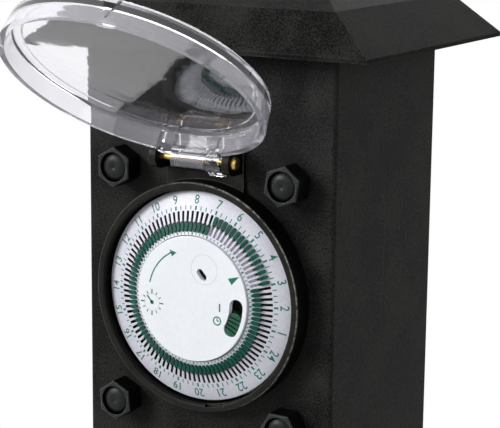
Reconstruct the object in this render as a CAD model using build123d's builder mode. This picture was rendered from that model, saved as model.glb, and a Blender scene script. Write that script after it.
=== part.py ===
from build123d import *
import os
from math import atan, cos, degrees, pi, radians, sin, sqrt

# Garden socket post: a plastic column on a foot plate, under a hipped roof cap. A 24-hour timer
# with a clear hinged lid sits near the top of the front, and two sockets with spring flaps sit
# below it. Millimetres. The origin is the middle of the foot's underside, below the column's
# axis; X is to the right, Z is up, and the front faces -Y.

# Column
column_width = 91.4
column_depth = 71.5
column_wall = 2.6
column_corner = 1.4
column_top_height = 313.0
timer_height = 228.0
lower_socket_height = 64.0
socket_pitch = 76.0

# Clearances and overruns
slide_gap = 0.15
free_gap = 0.3
shaft_gap = 0.06
screw_gap = 0.1
overrun = 1.0
edge_share = 0.45
coil_step_share = 1.0
slope_share = 0.6

# Foot plate
foot_width = 126.0
foot_depth = 106.0
foot_thickness = 8.0
foot_corner = 7.0
foot_edge = 1.6
foot_hole_radius = 3.3
foot_sink_radius = 6.2
foot_sink_depth = 3.0
foot_hole_spacing_x = 108.0
foot_hole_spacing_y = 88.0
foot_collar_height = 14.0
foot_collar_wall = 3.0
foot_drain_radius = 2.5
foot_drain_spacing = 30.0
foot_screw_height = 6.5
foot_screw_spacing = 44.0
foot_screw_length = 8.0

# Screws: shank and head of the three sizes used
small_shank = 1.25
small_head = 2.4
small_head_height = 1.5
shell_shank = 1.6
shell_head = 3.0
shell_head_height = 2.0
timer_shank = 1.9
timer_head = 3.6
timer_head_height = 2.2
cross_width = 0.7
cross_depth = 0.9

# Posts that join the two shells
post_radius = 3.5
post_inset = 0.6
post_sink_depth = 24.0
post_thread_depth = 12.0
post_heights = (34.0, 102.0, 272.0)

# Top plate and roof
plate_thickness = 3.0
plate_collar_height = 6.0
plate_collar_wall = 2.4
roof_eave_above_timer = 79.0
roof_side_overhang = 15.8
roof_front_overhang = 12.1
roof_back_overhang = 16.8
roof_eave_band = 1.4
roof_crease_rise = 13.9
roof_crease_inset_side = 14.6
roof_crease_inset_end = 7.9
roof_ridge_rise = 15.0
roof_ridge_length = 30.0
roof_ridge_depth = 5.0
roof_wall = 2.4
roof_post_radius = 4.0
roof_post_spacing_x = 60.0
roof_post_spacing_y = 40.0
roof_post_reach = 8.5
roof_screw_length = 9.0
roof_collar_wall = 2.0
roof_collar_drop = 5.0

# Timer bezel: the ring round the dial, with the hinge pad and ears above it
bezel_radius = 37.5
bezel_bore = 34.9
bezel_height = 7.3
bezel_edge = 0.7
bezel_sleeve_radius = 36.0
seal_width = 1.1
seal_thickness = 0.8
pad_height = 1.2
ear_radius = 4.0
ear_thickness = 2.4
ear_gap = 24.4
ear_shift = -0.8
pad_width = 28.6
pin_out = 6.2
pin_rise = 44.6
notch_turn = 12.5
notch_width = 7.0
notch_depth = 0.7
notch_drop = 1.6

# Hinge pin and the coil round it
pin_radius = 1.0
pin_head_radius = 2.2
pin_head_height = 1.3
coil_wire = 0.21
coil_radius = 2.75
coil_pitch = 0.9
coil_turns = 12

# Lid, in its own frame: its rim plane, the way to the hinge, and the way out of the lid
lid_open_angle = 125.5
lid_reach = 44.1
lid_radius = 41.3
lid_back_radius = 40.3
lid_depth = 8.7
lid_edge = 0.9
lid_bore = 39.2
lid_floor_radius = 38.6
lid_floor = 5.6
lid_floor_fillet = 0.8
lid_window_radius = 36.4
lid_window_step = 0.7
knuckle_radius = 3.6
knuckle_left = 7.6
knuckle_right = 10.3
knuckle_coil_length = 12.3
knuckle_void = 4.0
knuckle_web = 2.4
web_stop = 1.9
web_cut = 1.2
gusset_width = 1.4
gusset_rise = 7.0
stop_reach = 4.6
stop_width = 4.9
stop_spread = 40.0
stop_tip_turn = 8.0
latch_turn = 18.0
latch_width = 5.0
latch_depth = 0.5
latch_height = 1.2
pull_width = 5.4
pull_out = 2.0
pull_start = 1.2

# Hexagonal sleeves on the face, their caps and screws
sleeve_spacing_x = 62.0
sleeve_spacing_z = 78.3
sleeve_flats = 11.5
sleeve_height = 7.3
sleeve_edge = 0.35
sleeve_bore = 4.9
sleeve_floor = 2.0
sleeve_turns = (35.0, 0.0, 30.0, 21.0)
cap_radius = 4.45
cap_height = 1.9
cap_dome = 0.9
cap_dimple = 0.25

# Timer housing behind the front wall
housing_radius = 34.5
housing_wall = 1.6
housing_depth = 26.0
housing_floor = 2.0
housing_rim = 0.5
housing_flange_width = 70.0
housing_flange_height = 87.0
housing_flange_thickness = 3.0
housing_flange_corner = 4.2
housing_lug_radius = 4.2
housing_lug_length = 10.0
timer_screw_reach = 12.0
spindle_radius = 4.6
spindle_bore = 3.1
spindle_top = 6.9
rest_post_radius = 1.6
rest_post_circle = 20.3
rest_post_turns = (90.0, 250.0, 330.0)

# Dial ring: a shallow cone with 96 slots, on a hub with a toothed bore
dial_radius = 34.2
dial_rim_out = 4.0
dial_inner_out = 8.1
dial_inner_radius = 20.6
dial_thickness = 2.0
dial_rim_edge = 0.3
dial_skirt = 1.2
dial_skirt_back = 1.0
dial_hub_wall = 1.5
dial_hub_front = 6.6
slot_count = 96
slot_width = 0.86
slot_inner = 21.8
slot_outer = 28.0
slot_floor_reach = 1.9
slot_floor_depth = 1.3
slot_floor_thickness = 0.7
dial_turn = 0.98
hours = 24
hour_at_top = 8
gear_bottom_back = 6.2
gear_length = 2.4

# Tappets: a slide in each slot, with a leg that reaches behind the dial
tappet_gap = 0.06
tappet_length = 2.85
tappet_thickness = 1.15
tappet_head_width = 1.14
tappet_head_point = 0.5
tappet_head_taper = 0.9
tappet_head_blunt = 0.6
tappet_head_rise = 0.55
tappet_head_overhang = 0.2
tappet_leg_width = 0.85
tappet_leg_drop = 1.45
set_from_hour = 3
set_to_hour = 7

# Fixed centre disc with its curved slot
disc_radius = 20.3
disc_out = 8.8
disc_thickness = 1.8
disc_edge = 0.25
disc_skirt_radius = 19.6
disc_skirt_wall = 0.65
disc_skirt_back = 3.2
disc_boss_back = 2.0
journal_gap = 0.08
mode_slot_radius = 16.4
mode_slot_width = 4.8
mode_slot_top = 7.3
mode_slot_bottom = -36.9
peep_x = 3.7
peep_z = 8.4
peep_length = 4.2
peep_width = 2.3
peep_turn = -47.0

# Mode slider
slider_span = 28.0
slider_out = 8.5
slider_back = 5.2
slider_rib_count = 4
slider_rib_width = 0.45
slider_rib_depth = 0.5
slider_rib_step = 4.9
slider_foot_reach = 1.6
slider_foot_height = 1.4

# Gear train: module, teeth and tooth shape in modules
gear_module = 1.0
ring_teeth = 36
pinion_teeth = 8
wheel_teeth = 16
tooth_out_share = 0.75
tooth_in_share = 1.1
tooth_root_share = 1.5
tooth_tip_share = 0.55
transfer_turn = 190.0
motor_pinion_turn = 143.0
wheel_back = 11.0
wheel_length = 2.5
transfer_collar_radius = 2.4
transfer_pin_radius = 1.0
transfer_pin_front = 3.2
transfer_boss_radius = 3.0

# Motor and the timer's back cover
motor_radius = 18.0
motor_length = 14.0
motor_edge = 1.0
motor_arbor_radius = 1.0
motor_arbor_sink = 6.0
cover_wall = 1.6
cover_flange_thickness = 2.0
cover_corner = 2.0
cover_vent_count = 5
cover_vent_width = 1.6
cover_vent_length = 16.0
cover_vent_pitch = 4.6

# Switch: lever under the tappets' legs, microswitch and plunger
switch_turn = 28.9
switch_circle = 27.4
lever_pivot_along = 9.0
lever_end_along = -4.4
lever_width = 4.0
lever_thickness = 0.9
lever_back = 7.2
lever_barrel_radius = 1.3
lever_pivot_radius = 0.8
lever_pivot_length = 1.6
lever_nose_along = 1.6
lever_nose_width = 1.4
lever_leg_gap = 0.25
micro_length = 12.8
micro_width = 6.0
micro_height = 7.4
micro_front = 9.4
micro_edge = 0.4
plunger_radius = 0.9
plunger_along = -2.6
plunger_sink = 3.2
bracket_wall = 1.5
terminal_width = 5.0
terminal_depth = 3.2
terminal_length = 9.0
terminal_pitch = 8.0
terminal_circle = 27.0
terminal_turn = 270.0
terminal_stand = 6.0

# Socket frame and its hinge lugs
frame_width = 62.0
frame_below = 31.0
frame_above = 36.0
frame_corner = 5.0
frame_out = 5.0
frame_edge = 1.0
frame_bore = 22.2
frame_spigot_depth = 6.0
frame_spigot_wall = 1.8
frame_screw_spacing = 48.0
frame_screw_length = 9.0
flap_pin_rise = 30.6
flap_pin_out = 8.7
lug_radius = 3.6
lug_width = 4.0
lug_inner = 10.0

# Socket well, contacts and earth spring
well_radius = 22.0
well_flange = 2.4
well_wall = 2.2
well_bore = 19.7
well_depth = 17.5
well_floor = 2.4
well_key_width = 5.0
well_key_depth = 1.6
contact_spacing = 19.0
contact_hole_radius = 2.7
contact_radius = 3.2
contact_bore = 2.45
contact_length = 13.0
block_width = 33.0
block_height = 26.0
block_length = 15.0
earth_rise = 17.3
earth_thickness = 0.8
earth_width = 6.0
earth_front = 1.0
earth_hook = 1.0

# Flap, its pin, spring and seal
flap_width = 56.0
flap_below = 28.0
flap_above = 26.2
flap_corner = 6.0
flap_height = 7.2
flap_wall = 2.2
flap_edge = 1.4
flap_web = 2.6
flap_knuckle_radius = 3.1
flap_knuckle_left = 9.6
flap_knuckle_right = 3.0
flap_tab_width = 20.0
flap_tab_reach = 3.0
flap_tab_height = 3.0
flap_pin_radius = 1.2
flap_coil_wire = 0.25
flap_coil_radius = 2.2
flap_coil_pitch = 0.95
flap_coil_turns = 6
flap_coil_leg = 2.0
flap_seal_radius = 23.6
flap_seal_bore = 22.4

# Cable gland at the back
gland_height = 44.0
gland_flats = 24.0
gland_hex_height = 4.0
gland_thread_radius = 9.8
gland_inside = 10.0
gland_seal_radius = 7.0
gland_cable_radius = 4.2
gland_core_wall = 1.5
gland_core_out = 15.0
gland_back_bore = 5.5
gland_shoulder = 2.0
gland_cap_flats = 22.0
gland_cap_out = 20.0
gland_cap_bore = 5.6
gland_cap_edge = 2.0
locknut_flats = 26.0
locknut_thickness = 4.0

# Terminal block
block_poles = 3
block_pitch = 11.0
block_body_width = 34.0
block_body_depth = 17.0
block_body_height = 22.0
block_step_depth = 4.0
block_step_height = 3.6
block_rise = 78.0
block_wire_radius = 2.2
block_wire_depth = 5.5
block_screw_radius = 2.0
block_screw_sink = 0.8
block_row_spacing = 9.0

front_y = -column_depth / 2
back_y = column_depth / 2
inner_width = column_width - 2 * column_wall
inner_depth = column_depth - 2 * column_wall
shell_height = column_top_height - foot_thickness
post_x = inner_width / 2 - post_radius - post_inset
eave_height = timer_height + roof_eave_above_timer
socket_heights = (lower_socket_height, lower_socket_height + socket_pitch)
seat_back = column_wall

os.makedirs("parts", exist_ok=True)


def face_plane(height, out=0):
    """Plane on the front face at a height: x to the right, y up, normal out of the face."""
    return Plane(origin=(0, front_y - out, height), x_dir=(1, 0, 0), z_dir=(0, -1, 0))


def face_section(height):
    """Half-section plane of a round piece on the front face: x is radius, y is outwards."""
    return Plane(origin=(0, front_y, height), x_dir=(1, 0, 0), z_dir=(0, 0, -1))


def face_axis(height):
    """Axis out of the front face at a height."""
    return Axis((0, front_y, height), (0, -1, 0))


def side_plane(x, height):
    """Plane across the post at x: local x is outwards, y is up, and it extrudes to the left."""
    return Plane(origin=(x, front_y, height), x_dir=(0, -1, 0), z_dir=(-1, 0, 0))


def polar(radius, turn):
    """Point at a radius and an angle in degrees."""
    return (radius * cos(radians(turn)), radius * sin(radians(turn)))


def keep(part, node):
    """Label a finished piece and write it."""
    part.label = node
    export_step(part, f"parts/{node}.step")


def screw(plane, places, shank, head, head_height, length, turn=0):
    """Pan-head screws with a cross recess: the plane is under the heads, the shank goes behind."""
    with BuildPart() as screws:
        with BuildSketch(plane):
            with Locations(*places):
                Circle(head)
        extrude(amount=head_height)
        fillet(screws.edges().filter_by(GeomType.CIRCLE).group_by(
            lambda edge: plane.to_local_coords(edge.center()).Z)[-1], head_height * edge_share)
        with BuildSketch(plane):
            with Locations(*places):
                Circle(shank)
        extrude(amount=-length)
        with BuildSketch(plane.offset(head_height)):
            with Locations(*places):
                Rectangle(head, cross_width, rotation=turn)
                Rectangle(cross_width, head, rotation=turn)
        extrude(amount=-cross_depth, mode=Mode.SUBTRACT)
    return screws.part


def coil_path(start, across, up, along, radius, pitch, turns, leg):
    """Centre line of a coil as half-turn arcs, with a straight leg at each end.

    Each arc lies in a tilted plane, so that its ends run straight across the coil and the next
    arc continues it smoothly. across, up and along are unit vectors, and turns counts half turns.
    """
    def place(turn):
        angle = pi * turn
        return start + across * (radius * cos(angle)) + up * (radius * sin(angle)) \
            + along * (pitch * turn / 2)

    points = [place(step / 2) for step in range(2 * turns + 1)]
    with BuildLine() as line:
        Line(points[0] - up * leg, points[0])
        for half in range(turns):
            ThreePointArc(*points[2 * half:2 * half + 3])
        last_way = up if turns % 2 == 0 else up * -1
        Line(points[-1], points[-1] + last_way * leg)
    return line.wire()


def coil(path, wire):
    """Sweep a round wire along a coil's centre line."""
    with BuildPart() as wound:
        with BuildSketch(Plane(origin=path @ 0, z_dir=path % 0)):
            Circle(wire)
        sweep(path=path)
    return wound.part


def coil_gap(path, wire, pitch, radius):
    """Least distance between a coil's surface and itself, from points along it."""
    steps = int(path.length / (wire * coil_step_share))
    points = [path @ (step / steps) for step in range(steps + 1)]
    skip = int(steps * pi * radius / path.length)
    nearest = min((points[i] - points[j]).length
                  for i in range(len(points)) for j in range(i + skip, min(i + 3 * skip, steps)))
    return nearest - 2 * wire


# Foot plate: flange with four fixing holes, and a collar that the shells stand round
with BuildPart() as foot_plate:
    with BuildSketch():
        RectangleRounded(foot_width, foot_depth, foot_corner)
    extrude(amount=foot_thickness)
    chamfer(foot_plate.faces().sort_by(Axis.Z)[-1].edges(), foot_edge)
    with BuildSketch(Plane.XY.offset(foot_thickness)):
        Rectangle(inner_width - 2 * slide_gap, inner_depth - 2 * slide_gap)
        Rectangle(inner_width - 2 * slide_gap - 2 * foot_collar_wall,
                  inner_depth - 2 * slide_gap - 2 * foot_collar_wall, mode=Mode.SUBTRACT)
    extrude(amount=foot_collar_height)
    with Locations(Plane.XY.offset(foot_thickness)):
        with GridLocations(foot_hole_spacing_x, foot_hole_spacing_y, 2, 2):
            CounterBoreHole(foot_hole_radius, foot_sink_radius, foot_sink_depth, foot_thickness)
        with GridLocations(foot_drain_spacing, foot_drain_spacing, 2, 2):
            Hole(foot_drain_radius, foot_thickness)
    with BuildSketch(Plane.YZ.offset(-column_width / 2)):
        with Locations((0, foot_thickness + foot_screw_height)):
            with GridLocations(foot_screw_spacing, 0, 2, 1):
                Circle(small_shank + screw_gap)
    extrude(amount=column_width, mode=Mode.SUBTRACT)
keep(foot_plate.part, "foot_plate")

# Two screws in each side hold the shells to the foot's collar
foot_screw_places = [(y, foot_thickness + foot_screw_height)
                     for y in (-foot_screw_spacing / 2, foot_screw_spacing / 2)]
right_side = Plane.YZ.offset(column_width / 2)
left_side = Plane(origin=(-column_width / 2, 0, 0), x_dir=(0, -1, 0), z_dir=(-1, 0, 0))
with BuildPart() as foot_screws:
    for side in (right_side, left_side):
        add(screw(side, foot_screw_places, small_shank, small_head, small_head_height,
                  foot_screw_length))
keep(foot_screws.part, "foot_screws")


# Shells
def shell_box(side):
    """Half of the column's tube, open at the seam, the top and the bottom.

    side is -1 for the front half and 1 for the rear half.
    """
    with BuildPart() as shell:
        with BuildSketch(Plane.XY.offset(foot_thickness)):
            with Locations((0, side * column_depth / 4)):
                Rectangle(column_width, column_depth / 2)
        extrude(amount=shell_height)
        outer = shell.edges().filter_by(Axis.Z).group_by(Axis.Y)[0 if side < 0 else -1]
        fillet(outer, column_corner)
        with BuildSketch(Plane.XY.offset(foot_thickness)):
            with Locations((0, side * inner_depth / 4)):
                Rectangle(inner_width, inner_depth / 2)
        extrude(amount=shell_height, mode=Mode.SUBTRACT)
        with BuildSketch(Plane.YZ.offset(-column_width / 2)):
            with Locations((side * foot_screw_spacing / 2, foot_thickness + foot_screw_height)):
                Circle(small_shank + screw_gap)
        extrude(amount=column_width, mode=Mode.SUBTRACT)
    return shell.part


post_places = [(x, height) for height in post_heights for x in (-post_x, post_x)]
seam_plane = Plane(origin=(0, 0, 0), x_dir=(1, 0, 0), z_dir=(0, -1, 0))
sleeve_places = [(x, z) for z in (-sleeve_spacing_z / 2, sleeve_spacing_z / 2)
                 for x in (-sleeve_spacing_x / 2, sleeve_spacing_x / 2)]
frame_screw_places = [(x, z) for z in (-frame_screw_spacing / 2, frame_screw_spacing / 2)
                      for x in (-frame_screw_spacing / 2, frame_screw_spacing / 2)]
spigot_radius = frame_bore + frame_spigot_wall

with BuildPart() as front_shell:
    add(shell_box(-1))
    with BuildSketch(seam_plane):
        with Locations(*post_places):
            Circle(post_radius)
    extrude(amount=inner_depth / 2)
    with BuildSketch(seam_plane):
        with Locations(*post_places):
            Circle(shell_shank + screw_gap)
    extrude(amount=post_thread_depth, mode=Mode.SUBTRACT)
    with BuildSketch(face_plane(timer_height)):
        Circle(bezel_sleeve_radius + slide_gap)
        with Locations(*sleeve_places):
            Circle(timer_shank + screw_gap)
    extrude(amount=-column_wall, mode=Mode.SUBTRACT)
    for height in socket_heights:
        with BuildSketch(face_plane(height)):
            Circle(spigot_radius + slide_gap)
            with Locations(*frame_screw_places):
                Circle(small_shank + screw_gap)
        extrude(amount=-column_wall, mode=Mode.SUBTRACT)
keep(front_shell.part, "front_shell")

with BuildPart() as rear_shell:
    add(shell_box(1))
    with BuildSketch(seam_plane):
        with Locations(*post_places):
            Circle(post_radius + column_wall / 2)
    extrude(amount=-inner_depth / 2)
    with BuildSketch(seam_plane):
        with Locations(*post_places):
            Circle(shell_shank + screw_gap)
    extrude(amount=-column_depth / 2, mode=Mode.SUBTRACT)
    with BuildSketch(seam_plane.offset(-column_depth / 2)):
        with Locations(*post_places):
            Circle(shell_head + screw_gap)
    extrude(amount=post_sink_depth, mode=Mode.SUBTRACT)
    with BuildSketch(Plane(origin=(0, back_y, gland_height), x_dir=(-1, 0, 0), z_dir=(0, 1, 0))):
        Circle(gland_thread_radius + slide_gap)
    extrude(amount=-column_wall, mode=Mode.SUBTRACT)
keep(rear_shell.part, "rear_shell")

# Six long screws from the back pull the shells together
sunk_plane = Plane(origin=(0, back_y - post_sink_depth, 0), x_dir=(-1, 0, 0), z_dir=(0, 1, 0))
keep(screw(sunk_plane, [(-x, height) for x, height in post_places], shell_shank, shell_head,
           shell_head_height, column_depth / 2 - post_sink_depth + post_thread_depth - overrun),
     "shell_screws")

# Top plate closes the column and carries the roof
roof_post_places = [(x, y) for x in (-roof_post_spacing_x / 2, roof_post_spacing_x / 2)
                    for y in (-roof_post_spacing_y / 2, roof_post_spacing_y / 2)]
plate_top = column_top_height + plate_thickness
with BuildPart() as top_plate:
    with BuildSketch(Plane.XY.offset(column_top_height)):
        Rectangle(column_width, column_depth)
    extrude(amount=plate_thickness)
    with BuildSketch(Plane.XY.offset(column_top_height)):
        Rectangle(inner_width - 2 * slide_gap, inner_depth - 2 * slide_gap)
        Rectangle(inner_width - 2 * slide_gap - 2 * plate_collar_wall,
                  inner_depth - 2 * slide_gap - 2 * plate_collar_wall, mode=Mode.SUBTRACT)
    extrude(amount=-plate_collar_height)
    with BuildSketch(Plane.XY.offset(column_top_height)):
        with Locations(*roof_post_places):
            Circle(shell_shank + screw_gap)
    extrude(amount=plate_thickness, mode=Mode.SUBTRACT)
keep(top_plate.part, "top_plate")

under_plate = Plane(origin=(0, 0, column_top_height), x_dir=(-1, 0, 0), z_dir=(0, 0, -1))
keep(screw(under_plate, roof_post_places, shell_shank, shell_head, shell_head_height,
           roof_screw_length), "roof_screws")


# Roof cap: eave band, steep lower band, flatter upper part, and the hollow under them
def roof_solid(inset, band):
    """Hipped form of the roof, set in by an inset: eave band, lower slopes and upper slopes."""
    middle = (roof_back_overhang - roof_front_overhang) / 2
    eave = (column_width + 2 * roof_side_overhang - 2 * inset,
            column_depth + roof_front_overhang + roof_back_overhang - 2 * inset)
    crease = (eave[0] - 2 * roof_crease_inset_side, eave[1] - 2 * roof_crease_inset_end)
    ridge = (roof_ridge_length, roof_ridge_depth)
    band_top = eave_height + roof_eave_band
    levels = ((eave, band_top), (crease, eave_height + roof_crease_rise - inset * slope_share),
              (ridge, eave_height + roof_crease_rise + roof_ridge_rise - inset))
    with BuildPart() as form:
        with BuildSketch(Plane.XY.offset(band_top)):
            with Locations((0, middle)):
                Rectangle(*eave)
        extrude(amount=-band)
        for (low, low_height), (high, high_height) in zip(levels, levels[1:]):
            with BuildSketch(Plane.XY.offset(low_height)):
                with Locations((0, middle)):
                    Rectangle(*low)
            with BuildSketch(Plane.XY.offset(high_height)):
                with Locations((0, middle)):
                    Rectangle(*high)
            loft(ruled=True)
    return form.part


with BuildPart() as roof_hollow:
    add(roof_solid(roof_wall, roof_eave_band + overrun))
    with BuildSketch(Plane.XY.offset(plate_top)):
        with Locations(*roof_post_places):
            Circle(roof_post_radius)
    extrude(amount=roof_post_reach, mode=Mode.SUBTRACT)
    with BuildSketch(Plane.XY.offset(plate_top - roof_collar_drop)):
        Rectangle(column_width + 2 * slide_gap + 2 * roof_collar_wall,
                  column_depth + 2 * slide_gap + 2 * roof_collar_wall)
        Rectangle(column_width + 2 * slide_gap, column_depth + 2 * slide_gap, mode=Mode.SUBTRACT)
    extrude(amount=roof_collar_drop + roof_post_reach, mode=Mode.SUBTRACT)

with BuildPart() as roof_cap:
    add(roof_solid(0, roof_eave_band))
    add(roof_hollow.part, mode=Mode.SUBTRACT)
    with BuildSketch(Plane.XY.offset(plate_top)):
        with Locations(*roof_post_places):
            Circle(shell_shank + screw_gap)
    extrude(amount=roof_screw_length - plate_thickness + screw_gap, mode=Mode.SUBTRACT)
keep(roof_cap.part, "roof_cap")

# Timer bezel
timer_section = face_section(timer_height)
timer_axis = face_axis(timer_height)
pin_y = front_y - pin_out
pin_z = timer_height + pin_rise
ear_outer = ear_gap / 2 + ear_thickness + ear_shift
ear_span = ear_gap + 2 * ear_thickness
with BuildPart() as timer_bezel:
    with BuildSketch(timer_section):
        with BuildLine():
            Polyline((bezel_bore, -column_wall), (bezel_sleeve_radius, -column_wall),
                     (bezel_sleeve_radius, 0), (bezel_radius, 0), (bezel_radius, bezel_height),
                     (bezel_bore, bezel_height), close=True)
        make_face()
    revolve(axis=timer_axis)
    fillet(timer_bezel.faces().sort_by(Axis.Y)[0].edges(), bezel_edge)
    with BuildSketch(face_plane(timer_height)):
        with Locations((0, pin_rise / 2 + ear_radius / 2)):
            Rectangle(pad_width, pin_rise + ear_radius)
        Circle(bezel_bore, mode=Mode.SUBTRACT)
        with Locations((0, -bezel_radius)):
            Rectangle(2 * bezel_radius, 2 * bezel_radius, mode=Mode.SUBTRACT)
    extrude(amount=pad_height)
    for right in (ear_outer, ear_shift - ear_gap / 2):
        with BuildSketch(side_plane(right, timer_height + pin_rise)):
            with Locations((pin_out, 0)):
                Circle(ear_radius)
            with Locations((pin_out / 2, 0)):
                Rectangle(pin_out, 2 * ear_radius)
        extrude(amount=ear_thickness)
    with BuildSketch(side_plane(ear_outer, timer_height + pin_rise)):
        with Locations((pin_out, 0)):
            Circle(pin_radius + shaft_gap)
    extrude(amount=ear_span, mode=Mode.SUBTRACT)
    with BuildSketch(face_plane(timer_height)):
        Circle(bezel_sleeve_radius + seal_width + screw_gap)
        Circle(bezel_sleeve_radius, mode=Mode.SUBTRACT)
    extrude(amount=seal_thickness, mode=Mode.SUBTRACT)
    with BuildSketch(face_plane(timer_height, bezel_height)):
        with Locations(polar(bezel_bore, notch_turn - 90)):
            Rectangle(notch_width, 2 * notch_depth, rotation=notch_turn)
    extrude(amount=-notch_drop, mode=Mode.SUBTRACT)
keep(timer_bezel.part, "timer_bezel")

with BuildPart() as timer_seal:
    with BuildSketch(face_plane(timer_height)):
        Circle(bezel_sleeve_radius + seal_width)
        Circle(bezel_sleeve_radius + screw_gap, mode=Mode.SUBTRACT)
    extrude(amount=seal_thickness)
keep(timer_seal.part, "timer_seal")

# Hexagonal sleeves, with the screws in their bores and the caps over the screw heads
timer_face = face_plane(timer_height)
with BuildPart() as hex_sleeves:
    for place, turn in zip(sleeve_places, sleeve_turns):
        with BuildSketch(timer_face):
            with Locations(place):
                RegularPolygon(sleeve_flats / 2, 6, major_radius=False, rotation=turn)
        extrude(amount=sleeve_height)
    chamfer(hex_sleeves.faces().group_by(Axis.Y)[0].edges(), sleeve_edge)
    with BuildSketch(timer_face.offset(sleeve_floor)):
        with Locations(*sleeve_places):
            Circle(sleeve_bore)
    extrude(amount=sleeve_height - sleeve_floor, mode=Mode.SUBTRACT)
    with BuildSketch(timer_face):
        with Locations(*sleeve_places):
            Circle(timer_shank + screw_gap)
    extrude(amount=sleeve_floor, mode=Mode.SUBTRACT)
keep(hex_sleeves.part, "hex_sleeves")
keep(screw(timer_face.offset(sleeve_floor), sleeve_places, timer_shank, timer_head,
           timer_head_height, sleeve_floor + timer_screw_reach), "timer_screws")

cap_base = sleeve_floor + timer_head_height
with BuildPart() as cap_form:
    with BuildSketch(Plane.XZ):
        with BuildLine():
            Polyline((0, cap_base), (cap_radius, cap_base), (cap_radius, cap_base + cap_height))
            ThreePointArc((cap_radius, cap_base + cap_height),
                          (cap_radius * edge_share * 2, cap_base + cap_height + cap_dome * edge_share),
                          (cap_dimple, cap_base + cap_height + cap_dome))
            Polyline((cap_dimple, cap_base + cap_height + cap_dome),
                     (0, cap_base + cap_height + cap_dome - cap_dimple), (0, cap_base))
        make_face()
    revolve(axis=Axis.Z)
with BuildPart() as screw_caps:
    for x, z in sleeve_places:
        add(Location(timer_face.offset(0).location) * (Pos(x, z, 0) * cap_form.part))
keep(screw_caps.part, "screw_caps")

# Timer housing
flange_front = -seat_back
lug_back = flange_front - housing_flange_thickness - housing_lug_length
housing_back = -housing_depth
housing_bore = housing_radius - housing_wall
gear_bottom = -gear_bottom_back
rest_top = gear_bottom - free_gap
pitch_ring = ring_teeth * gear_module / 2
pitch_pinion = pinion_teeth * gear_module / 2
pitch_wheel = wheel_teeth * gear_module / 2
transfer_circle = pitch_ring - pitch_pinion
transfer_x, transfer_z = polar(transfer_circle, transfer_turn)
wheel_bottom = -wheel_back
transfer_boss_top = wheel_bottom - free_gap
motor_distance = pitch_wheel + pitch_pinion
swing = radians(transfer_turn - motor_pinion_turn)
motor_circle = transfer_circle * cos(swing) \
    + sqrt(motor_distance ** 2 - (transfer_circle * sin(swing)) ** 2)
motor_x, motor_z = polar(motor_circle, motor_pinion_turn)
switch_x, switch_z = polar(switch_circle, switch_turn)
switch_plane = Plane(origin=(switch_x, front_y, timer_height + switch_z),
                     x_dir=(-sin(radians(switch_turn)), 0, cos(radians(switch_turn))),
                     z_dir=(0, -1, 0))
micro_back = micro_front + micro_height
bracket_gap = lever_width + 2 * free_gap
bracket_top = -lever_back + lever_barrel_radius + free_gap
bracket_width = bracket_gap + 2 * bracket_wall

with BuildPart() as timer_housing:
    with BuildSketch(face_plane(timer_height, flange_front)):
        RectangleRounded(housing_flange_width, housing_flange_height, housing_flange_corner)
    extrude(amount=-housing_flange_thickness)
    with BuildSketch(face_plane(timer_height, flange_front)):
        with Locations(*sleeve_places):
            Circle(housing_lug_radius)
    extrude(amount=lug_back - flange_front)
    with BuildSketch(face_plane(timer_height, housing_rim)):
        Circle(housing_radius)
    extrude(amount=housing_back - housing_rim)
    with BuildSketch(face_plane(timer_height, housing_rim)):
        Circle(housing_bore)
    extrude(amount=housing_back + housing_floor - housing_rim, mode=Mode.SUBTRACT)
    with BuildSketch(face_plane(timer_height, flange_front)):
        with Locations(*sleeve_places):
            Circle(timer_shank + screw_gap)
    extrude(amount=lug_back - flange_front, mode=Mode.SUBTRACT)
    with BuildSketch(face_plane(timer_height, housing_back)):
        Circle(spindle_radius)
    extrude(amount=spindle_top - housing_back)
    with BuildSketch(face_plane(timer_height, spindle_top)):
        Circle(spindle_bore)
    extrude(amount=-spindle_top - disc_boss_back - overrun, mode=Mode.SUBTRACT)
    with BuildSketch(face_plane(timer_height, housing_back)):
        for turn in rest_post_turns:
            with Locations(polar(rest_post_circle, turn)):
                Circle(rest_post_radius)
    extrude(amount=rest_top - housing_back)
    with BuildSketch(face_plane(timer_height, housing_back)):
        with Locations((transfer_x, transfer_z)):
            Circle(transfer_boss_radius)
    extrude(amount=transfer_boss_top - housing_back)
    with BuildSketch(face_plane(timer_height, housing_back)):
        with Locations((transfer_x, transfer_z)):
            Circle(transfer_pin_radius + shaft_gap)
        with Locations((motor_x, motor_z)):
            Circle(motor_arbor_radius + free_gap)
    extrude(amount=housing_depth, mode=Mode.SUBTRACT)
    with BuildSketch(switch_plane.offset(housing_back + housing_floor)):
        with Locations((lever_pivot_along, 0)):
            Rectangle(2 * lever_barrel_radius, bracket_width)
            Rectangle(2 * lever_barrel_radius, bracket_gap, mode=Mode.SUBTRACT)
        Rectangle(micro_length, micro_width)
    extrude(amount=-micro_back - housing_back - housing_floor)
    with BuildSketch(switch_plane.offset(-micro_back)):
        with Locations((lever_pivot_along, 0)):
            Rectangle(2 * lever_barrel_radius, bracket_width)
            Rectangle(2 * lever_barrel_radius, bracket_gap, mode=Mode.SUBTRACT)
    extrude(amount=bracket_top + micro_back)
    pivot_plane = Plane(origin=switch_plane.from_local_coords(
        Vector(lever_pivot_along, -bracket_width / 2, -lever_back)),
        z_dir=switch_plane.y_dir)
    with BuildSketch(pivot_plane):
        Circle(lever_pivot_radius + shaft_gap)
    extrude(amount=bracket_width, mode=Mode.SUBTRACT)
    with BuildSketch(face_plane(timer_height, housing_back)):
        with Locations(polar(terminal_circle, terminal_turn)):
            with GridLocations(terminal_pitch, 0, 4, 1):
                Rectangle(terminal_width + 2 * screw_gap, terminal_depth + 2 * screw_gap)
    extrude(amount=housing_floor, mode=Mode.SUBTRACT)
keep(timer_housing.part, "timer_housing")

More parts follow.
